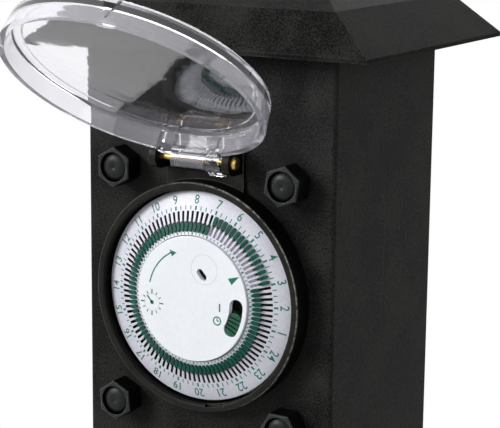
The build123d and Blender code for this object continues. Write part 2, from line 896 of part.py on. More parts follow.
# Timer terminals stand in the housing's floor
with BuildPart() as timer_terminals:
    with BuildSketch(face_plane(timer_height, housing_back - cover_flange_thickness)):
        with Locations(polar(terminal_circle, terminal_turn)):
            with GridLocations(terminal_pitch, 0, 4, 1):
                Rectangle(terminal_width, terminal_depth)
    extrude(amount=terminal_length)
    fillet(timer_terminals.edges().filter_by(Axis.Y), terminal_depth * edge_share / 2)
    with BuildSketch(face_plane(timer_height, housing_back - cover_flange_thickness)):
        with Locations(polar(terminal_circle, terminal_turn)):
            with GridLocations(terminal_pitch, 0, 4, 1):
                Circle(terminal_depth * edge_share / 2)
    extrude(amount=terminal_stand, mode=Mode.SUBTRACT)
keep(timer_terminals.part, "timer_terminals")


# Gears: trapezoid teeth on a root circle
def teeth(count, inner, tooth_plane, turn, length, blank):
    """Toothed rim: teeth point in for a toothed bore, and out otherwise. blank is the far radius."""
    pitch_radius = count * gear_module / 2
    way = -1 if inner else 1
    root = pitch_radius - way * tooth_in_share * gear_module
    tip = pitch_radius + way * tooth_out_share * gear_module
    sink = gear_module * edge_share
    half_root = gear_module * tooth_root_share / 2
    half_tip = gear_module * tooth_tip_share / 2
    with BuildPart() as rim:
        with BuildSketch(tooth_plane):
            if inner:
                Circle(blank)
                Circle(root, mode=Mode.SUBTRACT)
            else:
                Circle(root)
            with PolarLocations(0, count, start_angle=turn):
                Polygon((root - way * sink, -half_root), (root, -half_root), (tip, -half_tip),
                        (tip, half_tip), (root, half_root), (root - way * sink, half_root),
                        align=None)
            if not inner:
                Circle(blank, mode=Mode.SUBTRACT)
        extrude(amount=length)
    return rim.part


# Dial ring
slope = (dial_inner_out - dial_rim_out) / (dial_radius - dial_inner_radius)


def dial_surface(radius):
    """How far the dial's cone stands out of the face at a radius."""
    return dial_inner_out - slope * (radius - dial_inner_radius)


hub_bore = disc_skirt_radius + journal_gap
hub_radius = hub_bore + dial_hub_wall
floor_edge = slot_inner + slot_floor_reach
slot_step = 360 / slot_count
top_turn = 90 + dial_turn
with BuildPart() as dial_ring:
    with BuildSketch(timer_section):
        with BuildLine():
            Polyline((hub_bore, gear_bottom), (hub_radius, gear_bottom),
                     (hub_radius, dial_surface(hub_radius) - dial_thickness),
                     (dial_radius - dial_skirt, dial_surface(dial_radius - dial_skirt) - dial_thickness),
                     (dial_radius - dial_skirt, dial_skirt_back), (dial_radius, dial_skirt_back),
                     (dial_radius, dial_rim_out), (dial_inner_radius, dial_inner_out),
                     (dial_inner_radius, dial_hub_front), (hub_bore, dial_hub_front), close=True)
        make_face()
    revolve(axis=timer_axis)
    fillet(dial_ring.edges().filter_by(GeomType.CIRCLE).filter_by(
        lambda edge: abs(edge.radius - dial_radius) < shaft_gap).sort_by(Axis.Y)[0], dial_rim_edge)
    with BuildSketch(timer_face):
        with PolarLocations((slot_inner + slot_outer) / 2, slot_count,
                            start_angle=top_turn + slot_step / 2):
            Rectangle(slot_outer - slot_inner, slot_width)
    extrude(amount=dial_inner_out, mode=Mode.SUBTRACT)
    with BuildSketch(timer_section):
        with BuildLine():
            Polyline((slot_inner - slot_width, dial_surface(slot_inner - slot_width) - slot_floor_depth),
                     (floor_edge, dial_surface(floor_edge) - slot_floor_depth),
                     (floor_edge, dial_surface(floor_edge) - slot_floor_depth - slot_floor_thickness),
                     (slot_inner - slot_width,
                      dial_surface(slot_inner - slot_width) - slot_floor_depth - slot_floor_thickness),
                     close=True)
        make_face()
    revolve(axis=timer_axis)
    add(teeth(ring_teeth, True, face_plane(timer_height, gear_bottom), transfer_turn, gear_length,
              hub_radius))
keep(dial_ring.part, "dial_ring")

# Tappets: a sloping slide with a leg behind the dial and a wide head, pointed inwards, over it
tappet_inner = slot_inner + tappet_gap
tappet_travel = slot_outer - slot_inner - tappet_length - 2 * tappet_gap


def tappet(turn, outwards):
    """One tappet at an angle, pushed inwards or outwards along its slot."""
    radius_vector = Vector(cos(radians(turn)), 0, sin(radians(turn)))
    shift = tappet_travel if outwards else 0
    low = tappet_inner + shift
    high = low + tappet_length
    leg = high - tappet_leg_width
    drop = slot_floor_depth + slot_floor_thickness + tappet_leg_drop
    across = radius_vector.cross(Vector(0, -1, 0))
    section = Plane(origin=(0, front_y, timer_height), x_dir=radius_vector, z_dir=across)
    slope_way = (radius_vector + Vector(0, slope, 0)).normalized()
    head_plane = Plane(origin=section.from_local_coords(
        Vector(low - tappet_head_overhang, dial_surface(low - tappet_head_overhang) + tappet_gap, 0)),
        x_dir=slope_way, z_dir=across.cross(slope_way))
    head_end = tappet_length + 2 * tappet_head_overhang
    with BuildPart() as slide:
        with BuildSketch(section):
            with BuildLine():
                Polyline((low, dial_surface(low) + tappet_gap), (high, dial_surface(high) + tappet_gap),
                         (high, dial_surface(high) - drop), (leg, dial_surface(leg) - drop),
                         (leg, dial_surface(leg) - tappet_thickness),
                         (low, dial_surface(low) - tappet_thickness), close=True)
            make_face()
        extrude(amount=slot_width / 2 - tappet_gap, both=True)
        with BuildSketch(head_plane):
            Polygon((0, -tappet_head_point / 2), (tappet_head_taper, -tappet_head_width / 2),
                    (head_end - tappet_head_blunt, -tappet_head_width / 2),
                    (head_end, -slot_width / 2), (head_end, slot_width / 2),
                    (head_end - tappet_head_blunt, tappet_head_width / 2),
                    (tappet_head_taper, tappet_head_width / 2), (0, tappet_head_point / 2),
                    align=None)
        extrude(amount=tappet_head_rise)
    return slide.part


def hour_turn(hour):
    """Angle of an hour on the dial: hours run anticlockwise."""
    return top_turn + (hour - hour_at_top) * 360 / hours


slots_per_hour = slot_count // hours
first_set = set_from_hour * slots_per_hour
last_set = set_to_hour * slots_per_hour - 1
loose = {"tappet_a": (first_set - 1, False), "tappet_b": (first_set, True),
         "tappet_c": (last_set, True), "tappet_d": (last_set + 1, False)}
loose_slots = [index for index, _ in loose.values()]


def slot_turn(index):
    """Angle of a slot, counted from the dial's zero hour."""
    return hour_turn(0) + (index + 1 / 2) * slot_step


for node, chosen in (("tappets_set", True), ("tappets_unset", False)):
    with BuildPart() as group:
        add([tappet(slot_turn(index), chosen) for index in range(slot_count)
             if index not in loose_slots and (first_set <= index <= last_set) == chosen])
    keep(group.part, node)
for node, (index, is_set) in loose.items():
    keep(tappet(slot_turn(index), is_set), node)


# Centre disc
def curved_slot(radius, width, low, high):
    """Arc-shaped slot with round ends that reach the low and high angles."""
    end = degrees(width / 2 / radius)
    with BuildSketch() as slot:
        SlotArc(CenterArc((0, 0), radius, low + end, high - low - 2 * end), width)
    return slot.sketch


disc_back = disc_out - disc_thickness
with BuildPart() as dial_disc:
    with BuildSketch(timer_section):
        with BuildLine():
            Polyline((0, disc_out), (disc_radius, disc_out), (disc_radius, disc_back),
                     (disc_skirt_radius, disc_back), (disc_skirt_radius, -disc_skirt_back),
                     (disc_skirt_radius - disc_skirt_wall, -disc_skirt_back),
                     (disc_skirt_radius - disc_skirt_wall, disc_back),
                     (spindle_bore - shaft_gap, disc_back),
                     (spindle_bore - shaft_gap, -disc_boss_back), (0, -disc_boss_back), close=True)
        make_face()
    revolve(axis=timer_axis)
    fillet(dial_disc.edges().group_by(Axis.Y)[0], disc_edge)
    with BuildSketch(timer_face.offset(disc_back)):
        add(curved_slot(mode_slot_radius, mode_slot_width, mode_slot_bottom, mode_slot_top))
        with Locations((peep_x, peep_z)):
            SlotOverall(peep_length, peep_width, rotation=peep_turn)
    extrude(amount=disc_thickness, mode=Mode.SUBTRACT)
keep(dial_disc.part, "dial_disc")

# Mode slider: ribbed, in the lower part of the curved slot, held by a foot behind the disc
slider_low = mode_slot_bottom + degrees(slide_gap / mode_slot_radius)
slider_high = slider_low + slider_span
slider_width = mode_slot_width - 2 * slide_gap
foot_inner = mode_slot_radius - mode_slot_width / 2 - slider_foot_reach
foot_outer = mode_slot_radius + slider_width / 2
with BuildPart() as mode_slider:
    with BuildSketch(timer_face.offset(slider_back)):
        add(curved_slot(mode_slot_radius, slider_width, slider_low, slider_high))
    extrude(amount=slider_out - slider_back)
    with BuildSketch(timer_face.offset(slider_back)):
        add(curved_slot((foot_inner + foot_outer) / 2, foot_outer - foot_inner, slider_low,
                        slider_high))
    extrude(amount=slider_foot_height)
    with BuildSketch(timer_face.offset(slider_out)):
        with PolarLocations(mode_slot_radius, slider_rib_count,
                            start_angle=(slider_low + slider_high) / 2
                            - slider_rib_step * (slider_rib_count - 1) / 2,
                            angular_range=slider_rib_step * slider_rib_count):
            Rectangle(mode_slot_width, slider_rib_width)
    extrude(amount=-slider_rib_depth, mode=Mode.SUBTRACT)
keep(mode_slider.part, "mode_slider")

# Transfer gear: pinion inside the dial's toothed bore, and a wheel behind it
pinion_half_step = 180 / pinion_teeth
line_turn = degrees(atan((motor_z - transfer_z) / (motor_x - transfer_x)))
arbor_bore = transfer_pin_radius + shaft_gap
transfer_face = Plane(origin=(transfer_x, front_y, timer_height + transfer_z), x_dir=(1, 0, 0),
                      z_dir=(0, -1, 0))
motor_face = Plane(origin=(motor_x, front_y, timer_height + motor_z), x_dir=(1, 0, 0),
                   z_dir=(0, -1, 0))
with BuildPart() as transfer_gear:
    add(teeth(pinion_teeth, False, transfer_face.offset(gear_bottom),
              transfer_turn + pinion_half_step, gear_length, arbor_bore))
    add(teeth(wheel_teeth, False, transfer_face.offset(wheel_bottom), line_turn, wheel_length,
              arbor_bore))
    with BuildSketch(transfer_face.offset(wheel_bottom + wheel_length)):
        Circle(transfer_collar_radius)
        Circle(arbor_bore, mode=Mode.SUBTRACT)
    extrude(amount=gear_bottom - wheel_bottom - wheel_length)
keep(transfer_gear.part, "transfer_gear")

with BuildPart() as transfer_pin:
    with BuildSketch(transfer_face.offset(housing_back)):
        Circle(transfer_pin_radius)
    extrude(amount=housing_depth - transfer_pin_front)
keep(transfer_pin.part, "transfer_pin")

# Motor pinion on its arbor, motor can and the cover behind the housing
with BuildPart() as motor_pinion:
    add(teeth(pinion_teeth, False, motor_face.offset(wheel_bottom),
              line_turn + 180 + pinion_half_step, wheel_length, motor_arbor_radius))
    with BuildSketch(motor_face.offset(wheel_bottom + wheel_length)):
        Circle(motor_arbor_radius)
    extrude(amount=housing_back - motor_arbor_sink - wheel_bottom - wheel_length)
keep(motor_pinion.part, "motor_pinion")

with BuildPart() as motor:
    with BuildSketch(face_plane(timer_height, housing_back)):
        Circle(motor_radius)
    extrude(amount=-motor_length)
    fillet(motor.faces().sort_by(Axis.Y)[-1].edges(), motor_edge)
    with BuildSketch(motor_face.offset(housing_back)):
        Circle(motor_arbor_radius + shaft_gap)
    extrude(amount=-motor_arbor_sink - free_gap, mode=Mode.SUBTRACT)
keep(motor.part, "motor")

cover_back = housing_back - motor_length - cover_wall - slide_gap
with BuildPart() as timer_cover:
    with BuildSketch(face_plane(timer_height, housing_back)):
        Circle(housing_radius)
    extrude(amount=-cover_flange_thickness)
    with BuildSketch(face_plane(timer_height, housing_back)):
        Circle(motor_radius + slide_gap + cover_wall)
    extrude(amount=cover_back - housing_back)
    fillet(timer_cover.faces().sort_by(Axis.Y)[-1].edges(), cover_corner)
    with BuildSketch(face_plane(timer_height, housing_back)):
        Circle(motor_radius + slide_gap)
    extrude(amount=cover_back + cover_wall - housing_back, mode=Mode.SUBTRACT)
    with BuildSketch(face_plane(timer_height, cover_back)):
        with GridLocations(0, cover_vent_pitch, 1, cover_vent_count):
            SlotOverall(cover_vent_length, cover_vent_width)
    extrude(amount=cover_wall, mode=Mode.SUBTRACT)
    with BuildSketch(face_plane(timer_height, housing_back)):
        with Locations(polar(terminal_circle, terminal_turn)):
            with GridLocations(terminal_pitch, 0, 4, 1):
                Rectangle(terminal_width + 2 * screw_gap, terminal_depth + 2 * screw_gap)
    extrude(amount=-cover_flange_thickness, mode=Mode.SUBTRACT)
keep(timer_cover.part, "timer_cover")

# Switch lever, microswitch and plunger
leg_radius = tappet_inner + tappet_travel + tappet_length
leg_bottom = dial_surface(leg_radius) - slot_floor_depth - slot_floor_thickness - tappet_leg_drop
nose_top = leg_bottom - lever_leg_gap
lever_top = -lever_back + lever_thickness / 2
with BuildPart() as switch_lever:
    with BuildSketch(switch_plane.offset(-lever_back - lever_thickness / 2)):
        with Locations(((lever_pivot_along + lever_end_along) / 2, 0)):
            Rectangle(lever_pivot_along - lever_end_along, lever_width)
    extrude(amount=lever_thickness)
    with BuildSketch(switch_plane.offset(lever_top)):
        with Locations((0, 0)):
            Rectangle(lever_nose_along, lever_nose_width)
    extrude(amount=nose_top - lever_top)
    fillet(switch_lever.faces().sort_by(Axis.Y)[0].edges().filter_by(
        lambda edge: edge.length < lever_nose_along), lever_nose_width * edge_share / 2)
    pivot = Plane(origin=switch_plane.from_local_coords(
        Vector(lever_pivot_along, 0, -lever_back)), z_dir=switch_plane.y_dir)
    with BuildSketch(pivot):
        Circle(lever_barrel_radius)
    extrude(amount=lever_width / 2, both=True)
    with BuildSketch(pivot):
        Circle(lever_pivot_radius)
    extrude(amount=lever_width / 2 + lever_pivot_length, both=True)
keep(switch_lever.part, "switch_lever")

with BuildPart() as microswitch:
    with BuildSketch(switch_plane.offset(-micro_front)):
        Rectangle(micro_length, micro_width)
    extrude(amount=-micro_height)
    fillet(microswitch.edges().filter_by(Axis.Y), micro_edge)
    with BuildSketch(switch_plane.offset(-micro_front)):
        with Locations((plunger_along, 0)):
            Circle(plunger_radius + shaft_gap)
    extrude(amount=-plunger_sink - free_gap, mode=Mode.SUBTRACT)
keep(microswitch.part, "microswitch")

plunger_top = -lever_back - lever_thickness / 2 - lever_leg_gap
with BuildPart() as switch_plunger:
    with BuildSketch(switch_plane.offset(-micro_front - plunger_sink + plunger_radius)):
        with Locations((plunger_along, 0)):
            Circle(plunger_radius)
    extrude(amount=plunger_top + micro_front + plunger_sink - plunger_radius)
    fillet(switch_plunger.faces().sort_by(Axis.Y)[0].edges(), plunger_radius * edge_share)
keep(switch_plunger.part, "switch_plunger")

# Lid: built where it stands open. The plane's origin is the middle of the rim, its y points to
# the hinge and its normal points out of the lid's back.
open_cos, open_sin = cos(radians(lid_open_angle)), sin(radians(lid_open_angle))
lid_plane = Plane(origin=(0, pin_y - lid_reach * open_sin, pin_z - lid_reach * open_cos),
                  x_dir=(1, 0, 0), z_dir=(0, -open_cos, open_sin))
lid_section = Plane(origin=lid_plane.origin, x_dir=(1, 0, 0), z_dir=-lid_plane.y_dir)
lid_axis = Axis(lid_plane.origin, lid_plane.z_dir)
lid_wall_middle = (lid_bore + lid_back_radius) / 2
web_left = ear_shift - ear_gap / 2 + free_gap
web_right = ear_shift + ear_gap / 2 - free_gap
web_top = lid_reach - web_stop
stop_turn = lid_open_angle - 180


def lid_side(x):
    """Plane across the lid at x: local x points to the hinge and y out of the lid's back."""
    return Plane(origin=lid_plane.from_local_coords(Vector(x, 0, 0)), x_dir=lid_plane.y_dir,
                 z_dir=lid_plane.x_dir)


with BuildPart() as lid:
    with BuildSketch(lid_section) as lid_half:
        with BuildLine():
            Polyline((0, lid_floor), (lid_floor_radius, lid_floor), (lid_bore, 0), (lid_radius, 0),
                     (lid_back_radius, lid_depth), (lid_window_radius, lid_depth),
                     (lid_window_radius - lid_window_step, lid_depth - lid_window_step),
                     (0, lid_depth - lid_window_step), close=True)
        make_face()
        fillet(lid_half.vertices().sort_by_distance((lid_back_radius, lid_depth, 0))[0], lid_edge)
        fillet(lid_half.vertices().sort_by_distance((lid_floor_radius, lid_floor, 0))[0],
               lid_floor_fillet)
    revolve(axis=lid_axis)
    with BuildSketch(lid_side(-knuckle_left)):
        with Locations((lid_reach, 0)):
            Circle(knuckle_radius)
        with BuildLine():
            Polyline((lid_bore, 0), (lid_reach, 0), (lid_reach, knuckle_web),
                     (lid_bore, knuckle_web), close=True)
        make_face()
    extrude(amount=knuckle_left + knuckle_right)
    with BuildSketch(lid_plane):
        Polygon((web_left, 0), (web_right, 0), (web_right, web_top - web_cut),
                (web_right - web_cut, web_top), (web_left + web_cut, web_top),
                (web_left, web_top - web_cut), align=None)
        Circle(lid_wall_middle, mode=Mode.SUBTRACT)
    extrude(amount=knuckle_web)
    for left, reach in ((web_left, web_top - web_cut), (-knuckle_left, lid_reach),
                        (knuckle_right - gusset_width, lid_reach)):
        root = sqrt(lid_wall_middle ** 2 - left ** 2)
        with BuildSketch(lid_side(left)):
            with BuildLine():
                Polyline((root, 0), (reach, 0), (reach, knuckle_web),
                         (lid_bore + gusset_width, gusset_rise), (root, gusset_rise), close=True)
            make_face()
        extrude(amount=gusset_width)
    with BuildSketch(lid_side(knuckle_right - stop_width)):
        with Locations((lid_reach, 0)):
            Polygon((0, 0), polar(knuckle_radius, stop_turn - stop_spread),
                    polar(stop_reach, stop_turn - stop_tip_turn),
                    polar(stop_reach, stop_turn + stop_tip_turn),
                    polar(knuckle_radius, stop_turn + stop_spread), align=None)
    extrude(amount=stop_width)
    with BuildSketch(lid_side(knuckle_right - gusset_width - knuckle_void)):
        with BuildLine():
            Polyline((lid_radius, -overrun), (lid_reach, -overrun), (lid_reach, lid_depth),
                     (lid_radius, lid_depth), close=True)
        make_face()
    extrude(amount=knuckle_void, mode=Mode.SUBTRACT)
    with BuildSketch(lid_side(-knuckle_left)):
        with Locations((lid_reach, 0)):
            Circle(pin_radius + shaft_gap)
    extrude(amount=knuckle_left + knuckle_right, mode=Mode.SUBTRACT)
    with BuildSketch(lid_side(-knuckle_left)):
        with Locations((lid_reach, 0)):
            Circle(coil_radius + coil_wire + slide_gap)
    extrude(amount=knuckle_coil_length, mode=Mode.SUBTRACT)
    with BuildSketch(lid_plane):
        with Locations(polar(lid_bore - latch_depth / 2, latch_turn - 90)):
            Rectangle(latch_width, latch_depth + slide_gap, rotation=latch_turn)
    extrude(amount=latch_height)
    pull_plane = Plane(origin=lid_plane.from_local_coords(
        Vector(*polar(lid_back_radius - pull_out / 2, latch_turn - 90), 0)),
        x_dir=lid_plane.x_dir * cos(radians(latch_turn)) + lid_plane.y_dir * sin(radians(latch_turn)),
        z_dir=lid_plane.x_dir * sin(radians(latch_turn)) - lid_plane.y_dir * cos(radians(latch_turn)))
    with BuildSketch(pull_plane):
        with BuildLine():
            Polyline((0, pull_start), (pull_width / 2, lid_depth - lid_edge),
                     (-pull_width / 2, lid_depth - lid_edge), close=True)
        make_face()
    extrude(amount=pull_out + pull_out / 2)
keep(lid.part, "lid")

# Hinge pin with a domed head at its right end
with BuildPart() as hinge_pin:
    with BuildSketch(side_plane(ear_outer + pin_head_height, pin_z)):
        with Locations((pin_out, 0)):
            Circle(pin_head_radius)
    extrude(amount=pin_head_height)
    fillet(hinge_pin.faces().sort_by(Axis.X)[-1].edges(), pin_head_height * 2 * edge_share)
    with BuildSketch(side_plane(ear_outer, pin_z)):
        with Locations((pin_out, 0)):
            Circle(pin_radius)
    extrude(amount=ear_span + slide_gap)
keep(hinge_pin.part, "hinge_pin")

# Coil in the lid's knuckle
coil_start = Vector(-knuckle_left + coil_wire + slide_gap, pin_y, pin_z)
spring_path = coil_path(coil_start, Vector(0, -1, 0), Vector(0, 0, 1), Vector(1, 0, 0), coil_radius,
                        coil_pitch, 2 * coil_turns, 2 * coil_wire)
keep(coil(spring_path, coil_wire), "hinge_coil")
print("hinge coil turns", coil_turns, "least gap",
      round(coil_gap(spring_path, coil_wire, coil_pitch, coil_radius), 3))

# Sockets: frame, well, contacts, earth spring, flap, pin, coil and seal at each height
lug_left_ends = (-lug_inner, lug_inner + lug_width)


def socket_frame(height):
    """Frame on the face, with a spigot into the column and two lugs for the flap's pin."""
    face = face_plane(height)
    with BuildPart() as frame:
        with BuildSketch(face):
            with Locations((0, (frame_above - frame_below) / 2)):
                RectangleRounded(frame_width, frame_above + frame_below, frame_corner)
        extrude(amount=frame_out)
        chamfer(frame.faces().sort_by(Axis.Y)[0].edges(), frame_edge)
        with BuildSketch(face):
            Circle(spigot_radius)
        extrude(amount=-frame_spigot_depth)
        for right in lug_left_ends:
            with BuildSketch(side_plane(right, height + flap_pin_rise)):
                with Locations((flap_pin_out, 0)):
                    Circle(lug_radius)
                with Locations((flap_pin_out / 2, 0)):
                    Rectangle(flap_pin_out, 2 * lug_radius)
            extrude(amount=lug_width)
        with BuildSketch(side_plane(lug_inner + lug_width, height + flap_pin_rise)):
            with Locations((flap_pin_out, 0)):
                Circle(flap_pin_radius + shaft_gap)
        extrude(amount=2 * (lug_inner + lug_width), mode=Mode.SUBTRACT)
        with BuildSketch(face.offset(frame_out)):
            Circle(well_radius + slide_gap)
        extrude(amount=-well_flange, mode=Mode.SUBTRACT)
        with BuildSketch(face.offset(frame_out)):
            Circle(well_bore + well_wall + slide_gap)
        extrude(amount=-frame_out - frame_spigot_depth, mode=Mode.SUBTRACT)
        with Locations(face.offset(frame_out)):
            with Locations(*frame_screw_places):
                CounterBoreHole(small_shank + screw_gap, small_head + screw_gap,
                                small_head_height + screw_gap, frame_out)
    return frame.part


def socket_well(height):
    """Round well with keys at its sides, pin holes, and the block behind it for the contacts."""
    face = face_plane(height, frame_out)
    with BuildPart() as well:
        with BuildSketch(face):
            Circle(well_radius)
        extrude(amount=-well_flange + screw_gap)
        with BuildSketch(face):
            Circle(well_bore + well_wall)
        extrude(amount=-well_depth - well_floor)
        with BuildSketch(face):
            Circle(well_bore)
        extrude(amount=-well_depth, mode=Mode.SUBTRACT)
        with BuildSketch(face.offset(-well_depth)):
            with Locations((-well_bore, 0), (well_bore, 0)):
                Rectangle(2 * well_key_depth, well_key_width)
        extrude(amount=well_depth - well_flange)
        with BuildSketch(face.offset(-well_depth - well_floor)):
            Rectangle(block_width, block_height)
        extrude(amount=-block_length)
        with BuildSketch(face.offset(-well_depth)):
            with GridLocations(contact_spacing, 0, 2, 1):
                Circle(contact_hole_radius)
        extrude(amount=-well_floor, mode=Mode.SUBTRACT)
        with BuildSketch(face.offset(-well_depth - well_floor)):
            with GridLocations(contact_spacing, 0, 2, 1):
                Circle(contact_radius + screw_gap)
        extrude(amount=-block_length, mode=Mode.SUBTRACT)
        with BuildSketch(face.offset(-well_depth)):
            with GridLocations(0, 2 * (earth_rise + earth_thickness / 2), 1, 2):
                Rectangle(earth_width + 2 * slide_gap, earth_thickness + 2 * slide_gap)
        extrude(amount=-well_floor, mode=Mode.SUBTRACT)
    return well.part


def earth_spring(height):
    """Bent strip: a strap behind the block and two legs that end in the well as earth clips."""
    block_back = frame_out - well_depth - well_floor - block_length
    with BuildPart() as strip:
        with BuildSketch(side_plane(earth_width / 2, height)):
            with BuildLine():
                Polyline((earth_front - earth_hook, earth_rise + earth_thickness),
                         (block_back - earth_thickness, earth_rise + earth_thickness),
                         (block_back - earth_thickness, -earth_rise - earth_thickness),
                         (earth_front - earth_hook, -earth_rise - earth_thickness),
                         (earth_front, -earth_rise + earth_hook),
                         (earth_front - earth_hook, -earth_rise), (block_back, -earth_rise),
                         (block_back, earth_rise), (earth_front - earth_hook, earth_rise),
                         (earth_front, earth_rise - earth_hook), close=True)
            make_face()
        extrude(amount=earth_width)
    return strip.part


def contact_tubes(height):
    """Pair of brass contact tubes behind the pin holes."""
    with BuildPart() as tubes:
        with BuildSketch(face_plane(height, frame_out - well_depth - well_floor)):
            with GridLocations(contact_spacing, 0, 2, 1):
                Circle(contact_radius)
        extrude(amount=-contact_length)
        with BuildSketch(face_plane(height, frame_out - well_depth - well_floor)):
            with GridLocations(contact_spacing, 0, 2, 1):
                Circle(contact_bore)
        extrude(amount=-contact_length, mode=Mode.SUBTRACT)
    return tubes.part


def flap(height):
    """Spring flap: a shallow box over the well, with a knuckle on the pin and a lip below."""
    face = face_plane(height, frame_out + free_gap)
    middle = (flap_above - flap_below) / 2
    with BuildPart() as cover:
        with BuildSketch(face):
            with Locations((0, middle)):
                RectangleRounded(flap_width, flap_above + flap_below, flap_corner)
        extrude(amount=flap_height)
        fillet(cover.faces().sort_by(Axis.Y)[0].edges(), flap_edge)
        with BuildSketch(face):
            with Locations((0, middle)):
                RectangleRounded(flap_width - 2 * flap_wall, flap_above + flap_below - 2 * flap_wall,
                                 flap_corner - flap_wall)
        extrude(amount=flap_height - flap_wall, mode=Mode.SUBTRACT)
        with BuildSketch(face.offset(flap_height - flap_wall)):
            Circle(flap_seal_radius + screw_gap + flap_wall / 2)
            Circle(flap_seal_bore - screw_gap - flap_wall / 2, mode=Mode.SUBTRACT)
        extrude(amount=-flap_wall)
        with BuildSketch(face.offset(flap_height - flap_wall)):
            Circle(flap_seal_radius + screw_gap)
            Circle(flap_seal_bore - screw_gap, mode=Mode.SUBTRACT)
        extrude(amount=-flap_wall, mode=Mode.SUBTRACT)
        with BuildSketch(side_plane(flap_knuckle_right, height)):
            with Locations((flap_pin_out, flap_pin_rise)):
                Circle(flap_knuckle_radius)
            with BuildLine():
                Polyline((flap_pin_out, flap_above - flap_wall / 2),
                         (flap_pin_out + flap_web, flap_above - flap_wall / 2),
                         (flap_pin_out + flap_web, flap_pin_rise), (flap_pin_out, flap_pin_rise),
                         close=True)
            make_face()
        extrude(amount=flap_knuckle_left + flap_knuckle_right)
        with BuildSketch(side_plane(flap_knuckle_right, height)):
            with Locations((flap_pin_out, flap_pin_rise)):
                Circle(flap_pin_radius + shaft_gap)
        extrude(amount=flap_knuckle_left + flap_knuckle_right, mode=Mode.SUBTRACT)
        with BuildSketch(face.offset(flap_height - flap_wall)):
            with Locations((0, -flap_below)):
                RectangleRounded(flap_tab_width, 2 * flap_tab_reach, flap_tab_reach * edge_share)
        extrude(amount=-flap_tab_height)
    return cover.part


def flap_seal(height):
    """Rubber ring in the flap that meets the frame round the well."""
    with BuildPart() as ring:
        with BuildSketch(face_plane(height, frame_out + free_gap + flap_height - flap_wall)):
            Circle(flap_seal_radius)
            Circle(flap_seal_bore, mode=Mode.SUBTRACT)
        extrude(amount=-(flap_height - flap_wall))
    return ring.part


def flap_pin(height):
    """Steel pin through the lugs and the flap's knuckle."""
    with BuildPart() as pin:
        with BuildSketch(side_plane(lug_inner + lug_width, height + flap_pin_rise)):
            with Locations((flap_pin_out, 0)):
                Circle(flap_pin_radius)
        extrude(amount=2 * (lug_inner + lug_width))
    return pin.part


flap_coil_start_x = flap_knuckle_right + flap_coil_wire + free_gap
for number, height in enumerate(socket_heights, 1):
    keep(socket_frame(height), f"socket_frame_{number}")
    keep(socket_well(height), f"socket_well_{number}")
    keep(earth_spring(height), f"earth_spring_{number}")
    keep(contact_tubes(height), f"contact_tubes_{number}")
    keep(flap(height), f"flap_{number}")
    keep(flap_seal(height), f"flap_seal_{number}")
    keep(flap_pin(height), f"flap_pin_{number}")
    flap_path = coil_path(
        Vector(flap_coil_start_x, front_y - flap_pin_out, height + flap_pin_rise),
        Vector(0, 0, 1), Vector(0, -1, 0), Vector(1, 0, 0), flap_coil_radius, flap_coil_pitch,
        2 * flap_coil_turns, flap_coil_leg)
    keep(coil(flap_path, flap_coil_wire), f"flap_spring_{number}")
    print("flap coil", number, "turns", flap_coil_turns, "least gap",
          round(coil_gap(flap_path, flap_coil_wire, flap_coil_pitch, flap_coil_radius), 3))

with BuildPart() as socket_screws:
    for height in socket_heights:
        add(screw(face_plane(height, frame_out - small_head_height - screw_gap),
                  frame_screw_places, small_shank, small_head, small_head_height,
                  frame_screw_length))
keep(socket_screws.part, "socket_screws")

# Cable gland: body through the rear wall, locknut inside, seal and cap nut outside
gland_plane = Plane(origin=(0, back_y, gland_height), x_dir=(-1, 0, 0), z_dir=(0, 1, 0))
gland_core_radius = gland_seal_radius + gland_core_wall
with BuildPart() as gland_body:
    with BuildSketch(gland_plane):
        RegularPolygon(gland_flats / 2, 6, major_radius=False)
    extrude(amount=gland_hex_height)
    with BuildSketch(gland_plane):
        Circle(gland_thread_radius)
    extrude(amount=-gland_inside)
    with BuildSketch(gland_plane):
        Circle(gland_core_radius)
    extrude(amount=gland_core_out)
    with BuildSketch(gland_plane.offset(gland_core_out)):
        Circle(gland_seal_radius + shaft_gap)
    extrude(amount=-gland_core_out - gland_shoulder, mode=Mode.SUBTRACT)
    with BuildSketch(gland_plane):
        Circle(gland_back_bore)
    extrude(amount=-gland_inside, mode=Mode.SUBTRACT)
keep(gland_body.part, "gland_body")

with BuildPart() as gland_seal:
    with BuildSketch(gland_plane.offset(-gland_shoulder)):
        Circle(gland_seal_radius)
        Circle(gland_cable_radius, mode=Mode.SUBTRACT)
    extrude(amount=gland_core_out + gland_shoulder)
keep(gland_seal.part, "gland_seal")

with BuildPart() as gland_cap:
    with BuildSketch(gland_plane.offset(gland_hex_height + screw_gap)):
        RegularPolygon(gland_cap_flats / 2, 6, major_radius=False)
    extrude(amount=gland_cap_out - gland_hex_height)
    with BuildSketch(gland_plane.offset(gland_hex_height + screw_gap)):
        Circle(gland_core_radius + screw_gap)
    extrude(amount=gland_core_out - gland_hex_height, mode=Mode.SUBTRACT)
    with BuildSketch(gland_plane.offset(gland_hex_height)):
        Circle(gland_cap_bore)
    extrude(amount=gland_cap_out, mode=Mode.SUBTRACT)
    chamfer(gland_cap.faces().sort_by(Axis.Y)[-1].edges(), gland_cap_edge)
keep(gland_cap.part, "gland_cap")

with BuildPart() as gland_locknut:
    with BuildSketch(gland_plane.offset(-column_wall)):
        RegularPolygon(locknut_flats / 2, 6, major_radius=False)
        Circle(gland_thread_radius + screw_gap, mode=Mode.SUBTRACT)
    extrude(amount=-locknut_thickness)
keep(gland_locknut.part, "gland_locknut")

